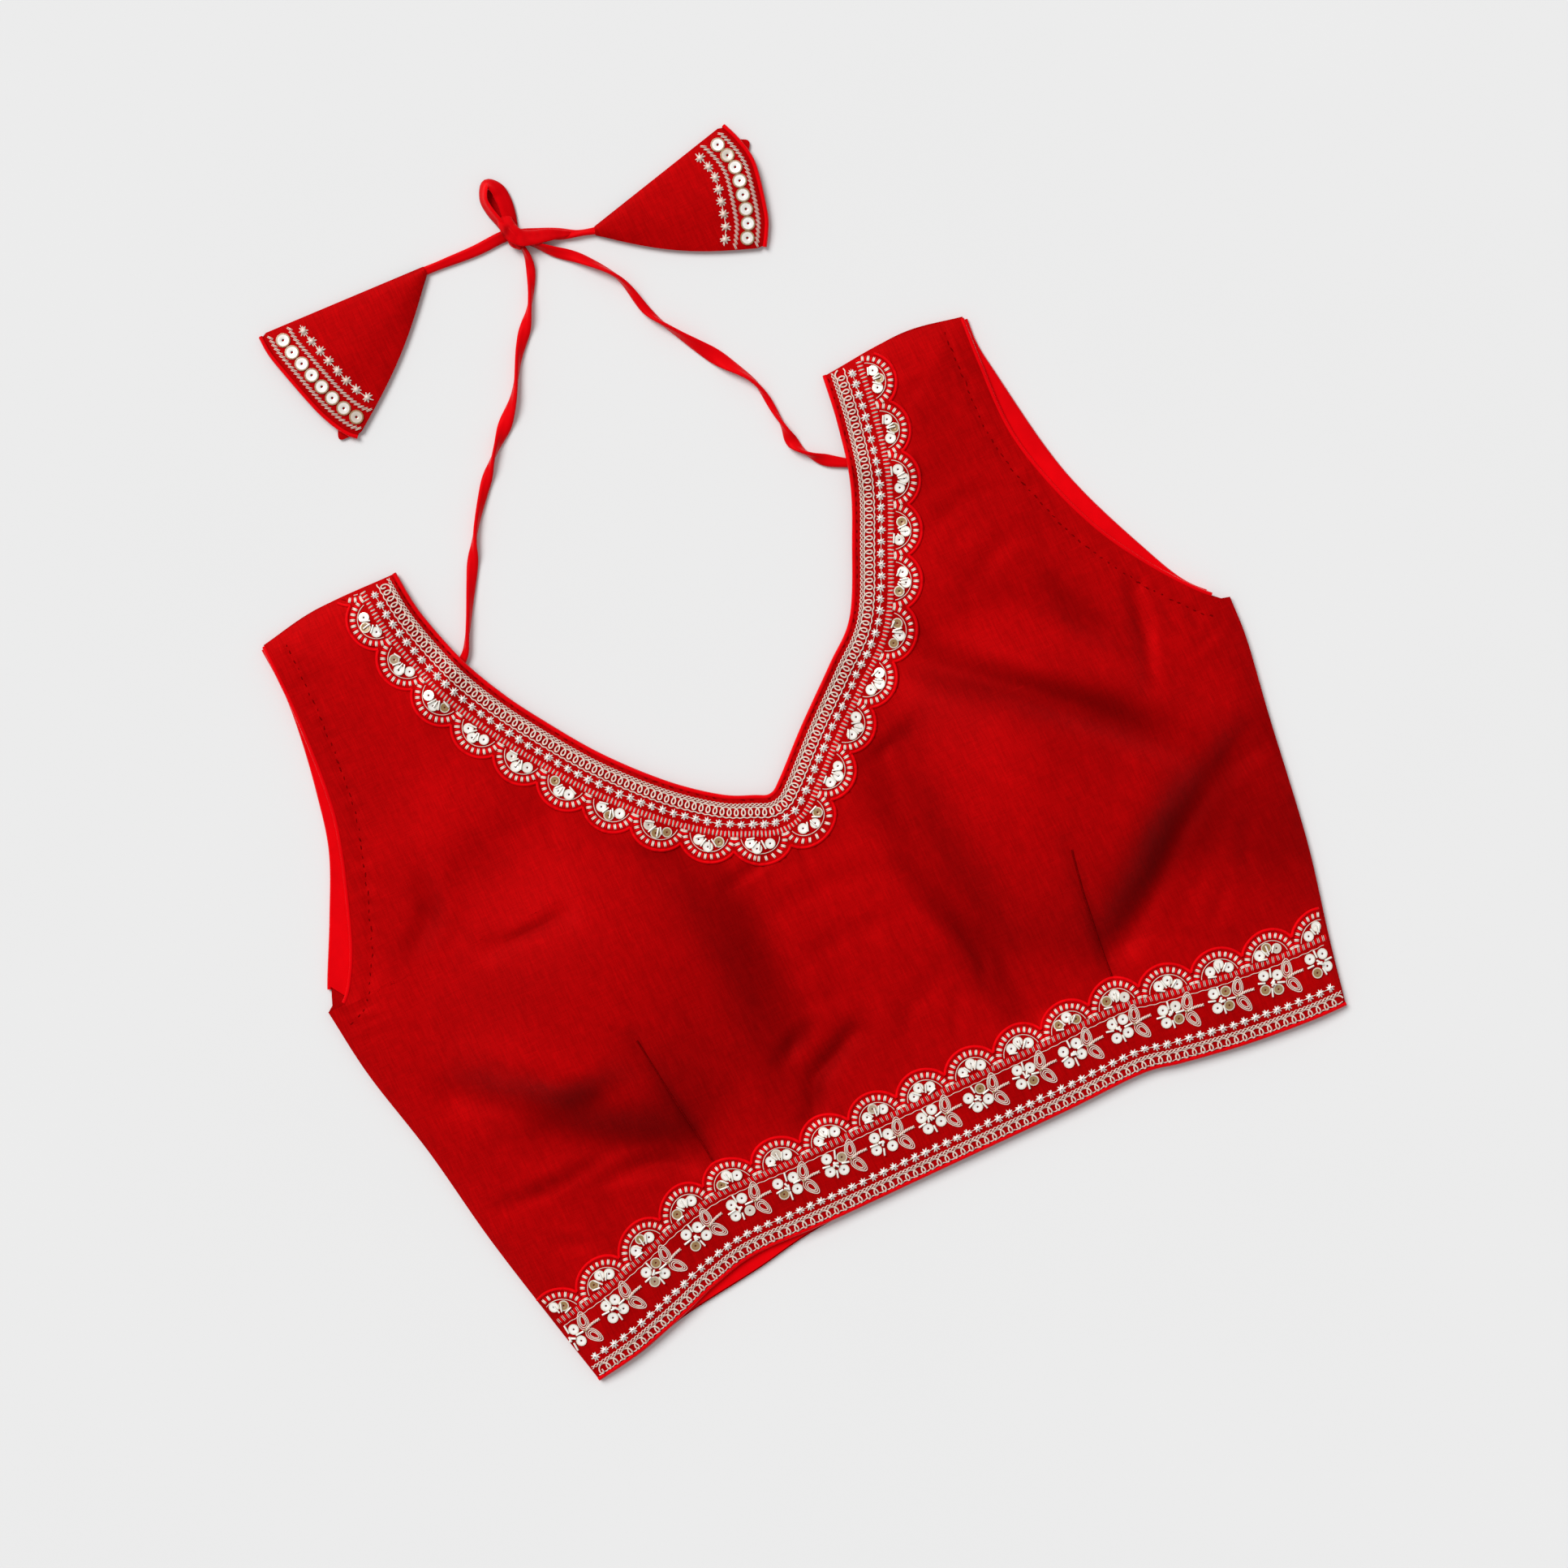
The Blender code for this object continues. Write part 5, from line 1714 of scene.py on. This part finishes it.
def make_tassel_trim(side, trims):
    """The ropes of slanted stitches, the star beads and the rimmed sequins of one cone."""
    picker = random.Random(TASSELS[side]["seed"])
    surface = Surface(f"tassel_{side}_cone")
    gold = thread_material(trims.thread)
    rimmed = sequin_material("rimmed_sequin", trims.silver, (0.34, 0.17, 0.05, 1.0))
    slanted = []
    for row in ("outer rope", "inner rope"):
        line = tassel_row(side, TASSEL_ROWS[row], 0.05, 0.97)
        for x, y in evenly(line, TASSEL_STITCH["pitch"]):
            index = int(np.argmin(np.hypot(line[:, 0] - x, line[:, 1] - y)))
            ahead = line[min(index + 1, len(line) - 1)] - line[max(index - 1, 0)]
            turn = math.atan2(ahead[1], ahead[0]) + TASSEL_STITCH["slant"]
            slanted += double_stitches(x, y, turn, *TASSEL_STITCH["size"])
    line = tassel_row(side, TASSEL_ROWS["stars"], 0.06, 0.96)
    linking = [surface.laid(evenly(line, 1.0), 0.3)]
    strands(f"tassel_{side}_link", ((linking, 0.2),), gold)
    scatter(f"tassel_{side}_rope", stitch_form(), slanted, surface, gold)
    shares = (np.arange(TASSEL_BEADS) + 0.5) / TASSEL_BEADS
    stars = [
        (x, y, picker.uniform(0, 6), 1.25, 1.25, 1.1, 0.5, 0.3 * picker.random())
        for x, y in at_shares(line, shares)
    ]
    scatter(f"tassel_{side}_stars", star_form(), stars, surface, gold)
    line = tassel_row(side, TASSEL_ROWS["sequins"], 0.05, 0.97)
    discs = [
        (x, y, picker.uniform(0, 6), 1.0, 1.0, 1.0, 0.25, 0.8 * picker.random())
        for x, y in at_shares(line, shares)
    ]
    form = sequin_form(trims.big_sequin / MM, 1.0, 0.16)
    scatter(f"tassel_{side}_sequins", form, discs, surface, rimmed)


# Operators, one for each piece or group of like pieces

class CHOLI_OT_stage(Operator):
    """Add the table, the soft lights and the camera over the blouse"""

    bl_idname = "choli.stage"
    bl_label = "Stage"

    def execute(self, context):
        stage = context.scene.choli_stage
        scene = context.scene
        middle = Vector(in_metres((*VIEW_MIDDLE, 0.0)))
        lens = bpy.data.cameras.new("view_from_above")
        lens.sensor_width = SENSOR
        lens.lens = SENSOR * stage.camera_height / VIEW_WIDTH
        camera = bpy.data.objects.new("view_from_above", lens)
        camera.location = (middle.x, middle.y, stage.camera_height)
        camera.rotation_euler = (0.0, 0.0, math.radians(VIEW_TURN))
        scene.collection.objects.link(camera)
        scene.camera = camera
        scene.view_settings.view_transform = "Standard"

        bm = bmesh.new()
        bmesh.ops.create_grid(bm, x_segments=4, y_segments=4, size=TABLE_SIZE)
        bmesh.ops.translate(bm, verts=bm.verts[:], vec=(0, 0, -TABLE_DROP))
        mesh = mesh_of("table", bm)
        mesh.materials.append(floor_material(stage.floor))
        table = bpy.data.objects.new("table", mesh)
        scene.collection.objects.link(table)

        world = bpy.data.worlds.new("studio")
        world.use_nodes = True
        background = world.node_tree.nodes["Background"]
        background.inputs["Color"].default_value = (1.0, 1.0, 1.0, 1.0)
        background.inputs["Strength"].default_value = stage.sky
        scene.world = world

        lamp = bpy.data.lights.new("broad_key", "SUN")
        lamp.energy = stage.key
        lamp.angle = math.radians(KEY_SPREAD)
        light = bpy.data.objects.new("broad_key", lamp)
        flat = math.cos(math.radians(KEY_HEIGHT))
        across, up = KEY_SIDE
        towards = Vector((across * flat, up * flat, math.sin(math.radians(KEY_HEIGHT))))
        light.location = middle + towards * KEY_AWAY
        light.rotation_euler = towards.to_track_quat("Z", "Y").to_euler()
        scene.collection.objects.link(light)
        return {"FINISHED"}


def set_shade(mesh, shade):
    """The painted shade that a piece keeps at each point, from places in the pattern."""
    spots = in_pattern([vert.co[:] for vert in mesh.vertices])
    set_values(mesh, "hollow", np.clip(shade(spots), 0, 1))


def knot_shade(spots):
    """Painted shade, darker towards the crease where the left tail goes under the knot, and low down."""
    crease = near_line(KNOT_CREASE, spots[:, 0], spots[:, 1])[0]
    low = np.clip((3.6 - spots[:, 2]) / 3.0, 0, 1)
    wander = [noise.noise((x / 2.4, y / 3.6, z / 2.4)) for x, y, z in spots]
    return 0.26 + 0.75 * np.exp(-(crease / 1.7) ** 2) + 0.3 * low + 0.25 * np.array(wander)


# Painted shade, darker low down on the loop and its inside
def loop_shade(spots):
    return 0.9 - 0.22 * spots[:, 2]


# Painted shade, darker on the cords near the knot
def cord_shade(spots):
    away = np.hypot(spots[:, 0] - KNOT_MIDDLE[0], spots[:, 1] - KNOT_MIDDLE[1])
    return 0.10 + 0.5 * np.exp(-(away / 10) ** 2)


def shares_along(path):
    return lengths_along(path) / lengths_along(path)[-1]


def upright_half(width, thick, roll):
    """Half the height of a flat band that is rolled about its length."""
    return np.hypot(width / 2 * np.sin(roll), thick / 2 * np.cos(roll))


def lay_cord(name, node, route, widths, rolls, cloths, far_end):
    """A flat cord along its route, lying on the table however it is turned."""
    path = evenly(smooth_line(route, 30), CORD_STEP)
    shares = shares_along(path)
    even = np.ones(CORD_SMOOTHED) / CORD_SMOOTHED
    width, roll = [
        np.convolve(np.pad(np.interp(shares, *row), CORD_SMOOTHED // 2, mode="edge"), even, mode="valid")
        for row in (widths, rolls)
    ]
    thickness = cloths.cord_thickness / MM
    thick = np.full(len(path), thickness) * np.clip(1.25 - width * 0.04, 0.9, 1.2)
    level = np.maximum(upright_half(width, thick, roll), thick / 2) + CORD_CLEAR
    path = np.column_stack((path, level))
    sides, ups = turned_frames(path, roll)
    mesh = tube_mesh(name, path, sides, ups, width, thick, blunt=far_end == "fitting")
    set_shade(mesh, cord_shade)
    satin = cloth_material("lining_satin_cloth", cloths.satin)
    piece = show(name, mesh, satin, (node,))


class CHOLI_OT_tie_cords(Operator):
    """Lay the two tie cords and their two tails, twisting as the photograph shows"""

    bl_idname = "choli.tie_cords"
    bl_label = "Tie cords"

    def execute(self, context):
        cloths = context.scene.choli_cloth
        knot = bpy.data.objects["knot_wrap"]
        loop = bpy.data.objects["bow_loop"]
        for name, route, held in (
            ("dori_left", DORI_LEFT, [knot, loop]), ("dori_right", DORI_RIGHT, [knot]),
        ):
            line = smooth_line(route, 30)
            along = shares_along(line)
            twists = CORD_TWISTS[name]
            shares = [along[np.argmin(np.hypot(*(line - spot).T))] for spot, _ in twists]
            start, end = DORI_ENDS
            widths = ([0.0, *shares, 1.0], [start, *[width for _, width in twists], end])
            rolls = (shares, [k * math.pi / 2 for k in range(len(shares))])
            lay_cord("tie_" + name, name, route, widths, rolls, cloths, "knot")
        for side, route in (("left", TAIL_LEFT), ("right", TAIL_RIGHT)):
            held = [
                item for item in context.scene.objects
                if item.name.startswith(f"tassel_{side}_") and item.name not in frame["nodes"]
            ]
            widths = tuple(zip(*TAIL_WIDTHS[side]))
            lay_cord(
                f"tie_tail_{side}", f"dori_tail_{side}", route, widths, TAIL_ROLLS[side], cloths,
                "fitting",
            )
        return {"FINISHED"}


def loop_meshes(thickness):
    """The bow loop's band, and the inside of the cord behind it, which painted shade makes dark."""
    path = evenly(smooth_line(BOW_LOOP, 20), 0.9)
    shares = shares_along(path)
    roll = np.interp(shares, *LOOP_ROLLS)
    width = np.interp(shares, *LOOP_WIDTHS)
    path[:, 0] -= 1.1 * np.clip((shares - 0.5) * 6, 0, 1)
    thick = np.full(len(path), thickness * 0.8)
    level = upright_half(width, thick, roll) + CORD_CLEAR + 1.2 * (1 - np.abs(2 * shares - 1))
    path = np.column_stack((path, level))
    sides, ups = turned_frames(path, roll)
    band = tube_mesh("loop_band", path, sides, ups, width, thick, crease=0.45)
    inside = evenly(smooth_line(LOOP_INSIDE, 12), 1.0)
    count = len(inside)
    sides, ups = turned_frames(inside, np.full(count, 0.1))
    sizes = [np.full(count, size) for size in INSIDE_SIZE]
    return band, tube_mesh("loop_inside", inside, sides, ups, *sizes)


def knot_meshes():
    """The one band that flows over the knot's core."""
    band = evenly(smooth_line(KNOT_BAND, 12), 0.8)
    shares = shares_along(band)
    width = np.interp(shares, *BAND_WIDTHS)
    sides, ups = turned_frames(band, 0.35 * np.sin(np.pi * shares))
    thick = np.full(len(band), BAND_THICK)
    return (tube_mesh("wrap", band, sides, ups, width, thick, crease=0.4),)


def add_core(bm):
    """The knot's puckered core, added to a bmesh."""
    for vert in bmesh.ops.create_icosphere(bm, subdivisions=4, radius=1.0)["verts"]:
        wave = math.sin(9 * vert.co.x + 5 * vert.co.y)
        pucker = 1 + 0.07 * noise.noise(vert.co * 2.3) + 0.05 * wave
        half = np.array(KNOT_HALF) * (0.86, 0.88, 0.9)
        vert.co = Vector(in_metres(np.array(vert.co) * pucker * half + KNOT_MIDDLE))


def show_joined(name, bm, parts, shade, satin, node):
    """A bmesh and some meshes joined to one piece of satin with its own painted shade."""
    for part in parts:
        bm.from_mesh(part)
        bpy.data.meshes.remove(part)
    mesh = mesh_of(name, bm, sharp=80)
    set_shade(mesh, shade)
    show(name, mesh, satin, (node,))


class CHOLI_OT_knot(Operator):
    """Tie the knot and the bow's one loop"""

    bl_idname = "choli.knot"
    bl_label = "Knot and loop"

    def execute(self, context):
        cloths = context.scene.choli_cloth
        satin = cloth_material("lining_satin_cloth", cloths.satin)
        parts = loop_meshes(cloths.cord_thickness / MM)
        show_joined("bow_loop", bmesh.new(), parts, loop_shade, satin, "dori_bow_loop")
        bm = bmesh.new()
        add_core(bm)
        show_joined("knot_wrap", bm, knot_meshes(), knot_shade, satin, "dori_knot")
        return {"FINISHED"}


def add_painted_shade(mesh):
    """How much each point of the front lies in a fold's shade, as painted shade that darkens the silk's
    colour there.
    """
    spots = np.empty(len(mesh.vertices) * 3, np.float32)
    mesh.vertices.foreach_get("co", spots)
    x, y, _ = in_pattern(spots.reshape(-1, 3)).T
    light = 1.0
    for line, width, amount in PAINTED_SHADES:
        distance, _, share = near_line(smooth_line(line, 6), x, y)
        fade = np.sin(np.pi * np.clip(share, 0.08, 0.92)) ** 0.5
        light = light * (1 - amount * fade * np.exp(-(distance / width) ** 2))
    set_values(mesh, "hollow", 1 - light)


class CHOLI_OT_front(Operator):
    """Make the front panel with its cups, darts, folds and creases"""

    bl_idname = "choli.front"
    bl_label = "Front panel"

    def execute(self, context):
        silk = cloth_material("shell_silk_cloth", context.scene.choli_cloth.shell)
        edges = FRONT_EDGES.values()
        mesh = panel("front_cloth", edges, *FRONT_GRID, front_underside, FRONT_WALL)
        add_painted_shade(mesh)
        front = show("front_cloth", mesh, silk, ("front_panel",))
        return {"FINISHED"}


class CHOLI_OT_back(Operator):
    """Make the back panels, the placket and the satin facings"""

    bl_idname = "choli.back"
    bl_label = "Back and facings"

    def execute(self, context):
        cloths = context.scene.choli_cloth
        silk = cloth_material("shell_silk_cloth", cloths.shell)
        satin = cloth_material("lining_satin_cloth", cloths.satin)
        on_back = BACK_WALL + SEAM_GAP
        for side, outward in OUTWARD.items():
            edges = back_edges(side)
            mesh = panel(f"back_{side}_cloth", [edges], *BACK_GRID, 0.0, BACK_WALL)
            piece = show(f"back_{side}_cloth", mesh, silk, (f"back_{side}_panel",))
            arm = at_shares(evenly(edges[2], 1.0), np.linspace(0, 1, 60))
            inner, outer = [
                at_shares(moved_right(arm, outward * away), LINING_SHARES)
                for away in (-LINING_WIDTH, LINING_EDGE)
            ]

            def level(x, y):
                wave = [noise.noise((a / 9, b / 16, 2.0)) for a, b in zip(x, y)]
                return on_back + LINING_WAVE * (1 + np.array(wave))

            name = f"armhole_lining_{side}"
            mesh = strip(name, inner, outer, 14, level, FACING_WALL)
            show(name, mesh, satin, (f"armhole_facing_{side}",))
        hem = smooth_line(BACK_HEM)
        shown = (hem[:, 0] >= HEM_FACING["from_x"]) & (hem[:, 0] <= HEM_FACING["to_x"])
        hem = at_shares(hem[shown], np.linspace(0, 1, 40))
        low, high = hem + (0, HEM_FACING["inset"]), hem + (0, HEM_FACING["deep"])
        mesh = strip("back_hem_lining", low, high, 8, on_back, FACING_WALL)
        show("back_hem_lining", mesh, satin, ("back_hem_facing",))
        edge = at_shares(PLACKET_EDGE, np.linspace(0, 1, 20))
        far = edge + (PLACKET_WIDTH, 0)
        mesh = strip("back_placket_strip", edge, far, 6, on_back, FACING_WALL)
        show("back_placket_strip", mesh, satin, ("back_placket",))
        return {"FINISHED"}


class CHOLI_OT_pipings(Operator):
    """Run the satin piping round the neck, hem and armholes"""

    bl_idname = "choli.pipings"
    bl_label = "Piping"

    def execute(self, context):
        cloths = context.scene.choli_cloth
        satin = cloth_material("lining_satin_cloth", cloths.satin)
        radius = cloths.piping / MM
        lines = {"neck_piping": (NECK_LINE, 1), "hem_piping": (smooth_line(FRONT_HEM), -1)}
        for side, outward in OUTWARD.items():
            for name, armhole, start, end in (
                ("front", FRONT_ARMHOLE, 0.045, 0.995), ("back", BACK_ARMHOLE, 0.06, 0.99),
            ):
                arm = at_shares(smooth_line(armhole[side]), np.linspace(start, end, 150))
                lines[f"{name}_armhole_piping_{side}"] = (arm, -outward)
        for node, (edge, inward) in lines.items():
            middle = evenly(moved_right(edge, inward * PIPING_MIDDLE), 1.4)
            if node.startswith("back"):
                level = np.full(len(middle), radius + 0.05)
            else:
                level = front_underside(middle[:, 0], middle[:, 1]) + FRONT_WALL / 2
            spots = np.column_stack((middle, level))
            strands("satin_" + node, (([spots], radius),), satin, (node,))
        return {"FINISHED"}


class CHOLI_OT_stitching(Operator):
    """Sew the dark stitches inside the armholes and the neck, and the seams of the darts; their darkness
    is partly painted shade
    """

    bl_idname = "choli.stitching"
    bl_label = "Stitching"

    def execute(self, context):
        dark = sewing_and_shade_material(context.scene.choli_cloth.shell)
        surface = Surface("front_cloth")
        picker = random.Random(2)
        rows = [row_line(BORDERS["neck"], NECK_STITCH_ROW, 1.0)]
        for side, edges in FRONT_EDGES.items():
            arm = at_shares(edges[2], np.linspace(0.03, 0.985, 120))
            rows.append(moved_right(arm, -OUTWARD[side] * ARMHOLE_SEWN))
        copies = []
        for row in rows:
            line = evenly(row, STITCH_PITCH)
            for before, after in zip(line, line[1:]):
                x, y = (before + after) / 2
                turn = math.atan2(after[1] - before[1], after[0] - before[0])
                turn += picker.uniform(-0.3, 0.3)
                length = picker.uniform(1.2, 3.2)
                x += picker.uniform(-0.4, 0.4)
                y += picker.uniform(-0.4, 0.4)
                copies.append((x, y, turn, length, picker.uniform(0.6, 1.0), 0.2, 0.0, 0.0))
        # The stitches' dark colour also stands for painted shade in the armhole puckers
        scatter("stitch_lines", stitch_form(), copies, surface, dark)
        # The dart seams are dark thread that also stands for each dart's painted shadow line
        seams = [
            surface.laid(evenly(np.array(line, float), DART_SEAM["step"]), DART_SEAM["lift"])
            for line in DARTS
        ]
        strands("dart_seams_and_painted_shadow", ((seams, DART_SEAM["radius"]),), dark)
        return {"FINISHED"}


def start_border(name, cloths, trims):
    """The ground of a border and what is sewn on it: gives the surface and its bugle beads."""
    border = BORDERS[name]
    silk = cloth_material("shell_silk_cloth", cloths.shell)
    make_ground(f"{name}_ground", border, Surface("front_cloth"), silk, f"{name}_border")
    surface = Surface("front_cloth", f"{name}_ground")
    return surface, make_border_work(name, border, surface, cloths, trims)


def sew_bugles(name, bugles, surface, trims):
    silver = sequin_material("silver_sequin", trims.silver)
    scatter(f"{name}_bugles", bugle_form(), bugles, surface, silver)


class CHOLI_OT_neck_border(Operator):
    """Embroider the scalloped border of the neck"""

    bl_idname = "choli.neck_border"
    bl_label = "Neck border"

    def execute(self, context):
        trims = context.scene.choli_trim
        surface, bugles = start_border("neck", context.scene.choli_cloth, trims)
        sew_bugles("neck", bugles, surface, trims)
        return {"FINISHED"}


class CHOLI_OT_hem_border(Operator):
    """Embroider the scalloped border of the hem with its vine"""

    bl_idname = "choli.hem_border"
    bl_label = "Hem border"

    def execute(self, context):
        trims = context.scene.choli_trim
        surface, bugles = start_border("hem", context.scene.choli_cloth, trims)
        make_vine(BORDERS["hem"], surface, trims, bugles)
        sew_bugles("hem", bugles, surface, trims)
        return {"FINISHED"}


class CHOLI_OT_tassels(Operator):
    """Make the two cloth cones with their bordered mouths"""

    bl_idname = "choli.tassels"
    bl_label = "Tassels"

    def execute(self, context):
        cloths = context.scene.choli_cloth
        silk = cloth_material("shell_silk_cloth", cloths.shell)
        satin = cloth_material("lining_satin_cloth", cloths.satin)
        for side, outward in OUTWARD.items():
            mesh = tassel_form(side)
            show(mesh.name, mesh, silk, (f"tassel_{side}",))
            across = np.linspace(0.01, 0.99, 60)
            mouth = tassel_spots(TASSELS[side], across, np.ones(60))
            middle = moved_right(mouth, -outward * TASSEL_EDGE["inward"])
            level = tassel_top(across, np.ones(60)) - TASSEL_EDGE["down"]
            group = ([np.column_stack((middle, level))], TASSEL_EDGE["radius"])
            name = f"tassel_{side}_mouth_edge"
            strands(name, (group,), satin, (f"tassel_piping_{side}",))
            mesh = tassel_behind(side)
            show(mesh.name, mesh, silk)
            make_tassel_trim(side, context.scene.choli_trim)
        return {"FINISHED"}


# Panel and registration

OPERATORS = (
    CHOLI_OT_stage, CHOLI_OT_knot, CHOLI_OT_tassels, CHOLI_OT_tie_cords, CHOLI_OT_back,
    CHOLI_OT_front, CHOLI_OT_pipings, CHOLI_OT_stitching, CHOLI_OT_neck_border,
    CHOLI_OT_hem_border,
)


class CHOLI_PT_panel(Panel):
    """Lists the steps that build the blouse and the settings they read"""

    bl_idname = "CHOLI_PT_panel"
    bl_label = "Choli blouse"
    bl_space_type = "VIEW_3D"
    bl_region_type = "UI"
    bl_category = "Choli"

    def draw(self, context):
        layout = self.layout
        for group in ("choli_cloth", "choli_trim", "choli_stage"):
            settings = getattr(context.scene, group)
            for field in settings.__annotations__:
                layout.prop(settings, field)
        for operator in OPERATORS:
            layout.operator(operator.bl_idname)


CLASSES = (ClothSettings, TrimSettings, StageSettings, *OPERATORS, CHOLI_PT_panel)


def register():
    for item in CLASSES:
        bpy.utils.register_class(item)
    bpy.types.Scene.choli_cloth = PointerProperty(type=ClothSettings)
    bpy.types.Scene.choli_trim = PointerProperty(type=TrimSettings)
    bpy.types.Scene.choli_stage = PointerProperty(type=StageSettings)


def unregister():
    del bpy.types.Scene.choli_stage
    del bpy.types.Scene.choli_trim
    del bpy.types.Scene.choli_cloth
    for item in reversed(CLASSES):
        bpy.utils.unregister_class(item)


def main():
    register()
    bpy.ops.choli.stage()
    bpy.ops.choli.knot()
    bpy.ops.choli.tassels()
    bpy.ops.choli.tie_cords()
    bpy.ops.choli.back()
    bpy.ops.choli.front()
    bpy.ops.choli.pipings()
    bpy.ops.choli.stitching()
    bpy.ops.choli.neck_border()
    bpy.ops.choli.hem_border()


if __name__ == "__main__":
    main()
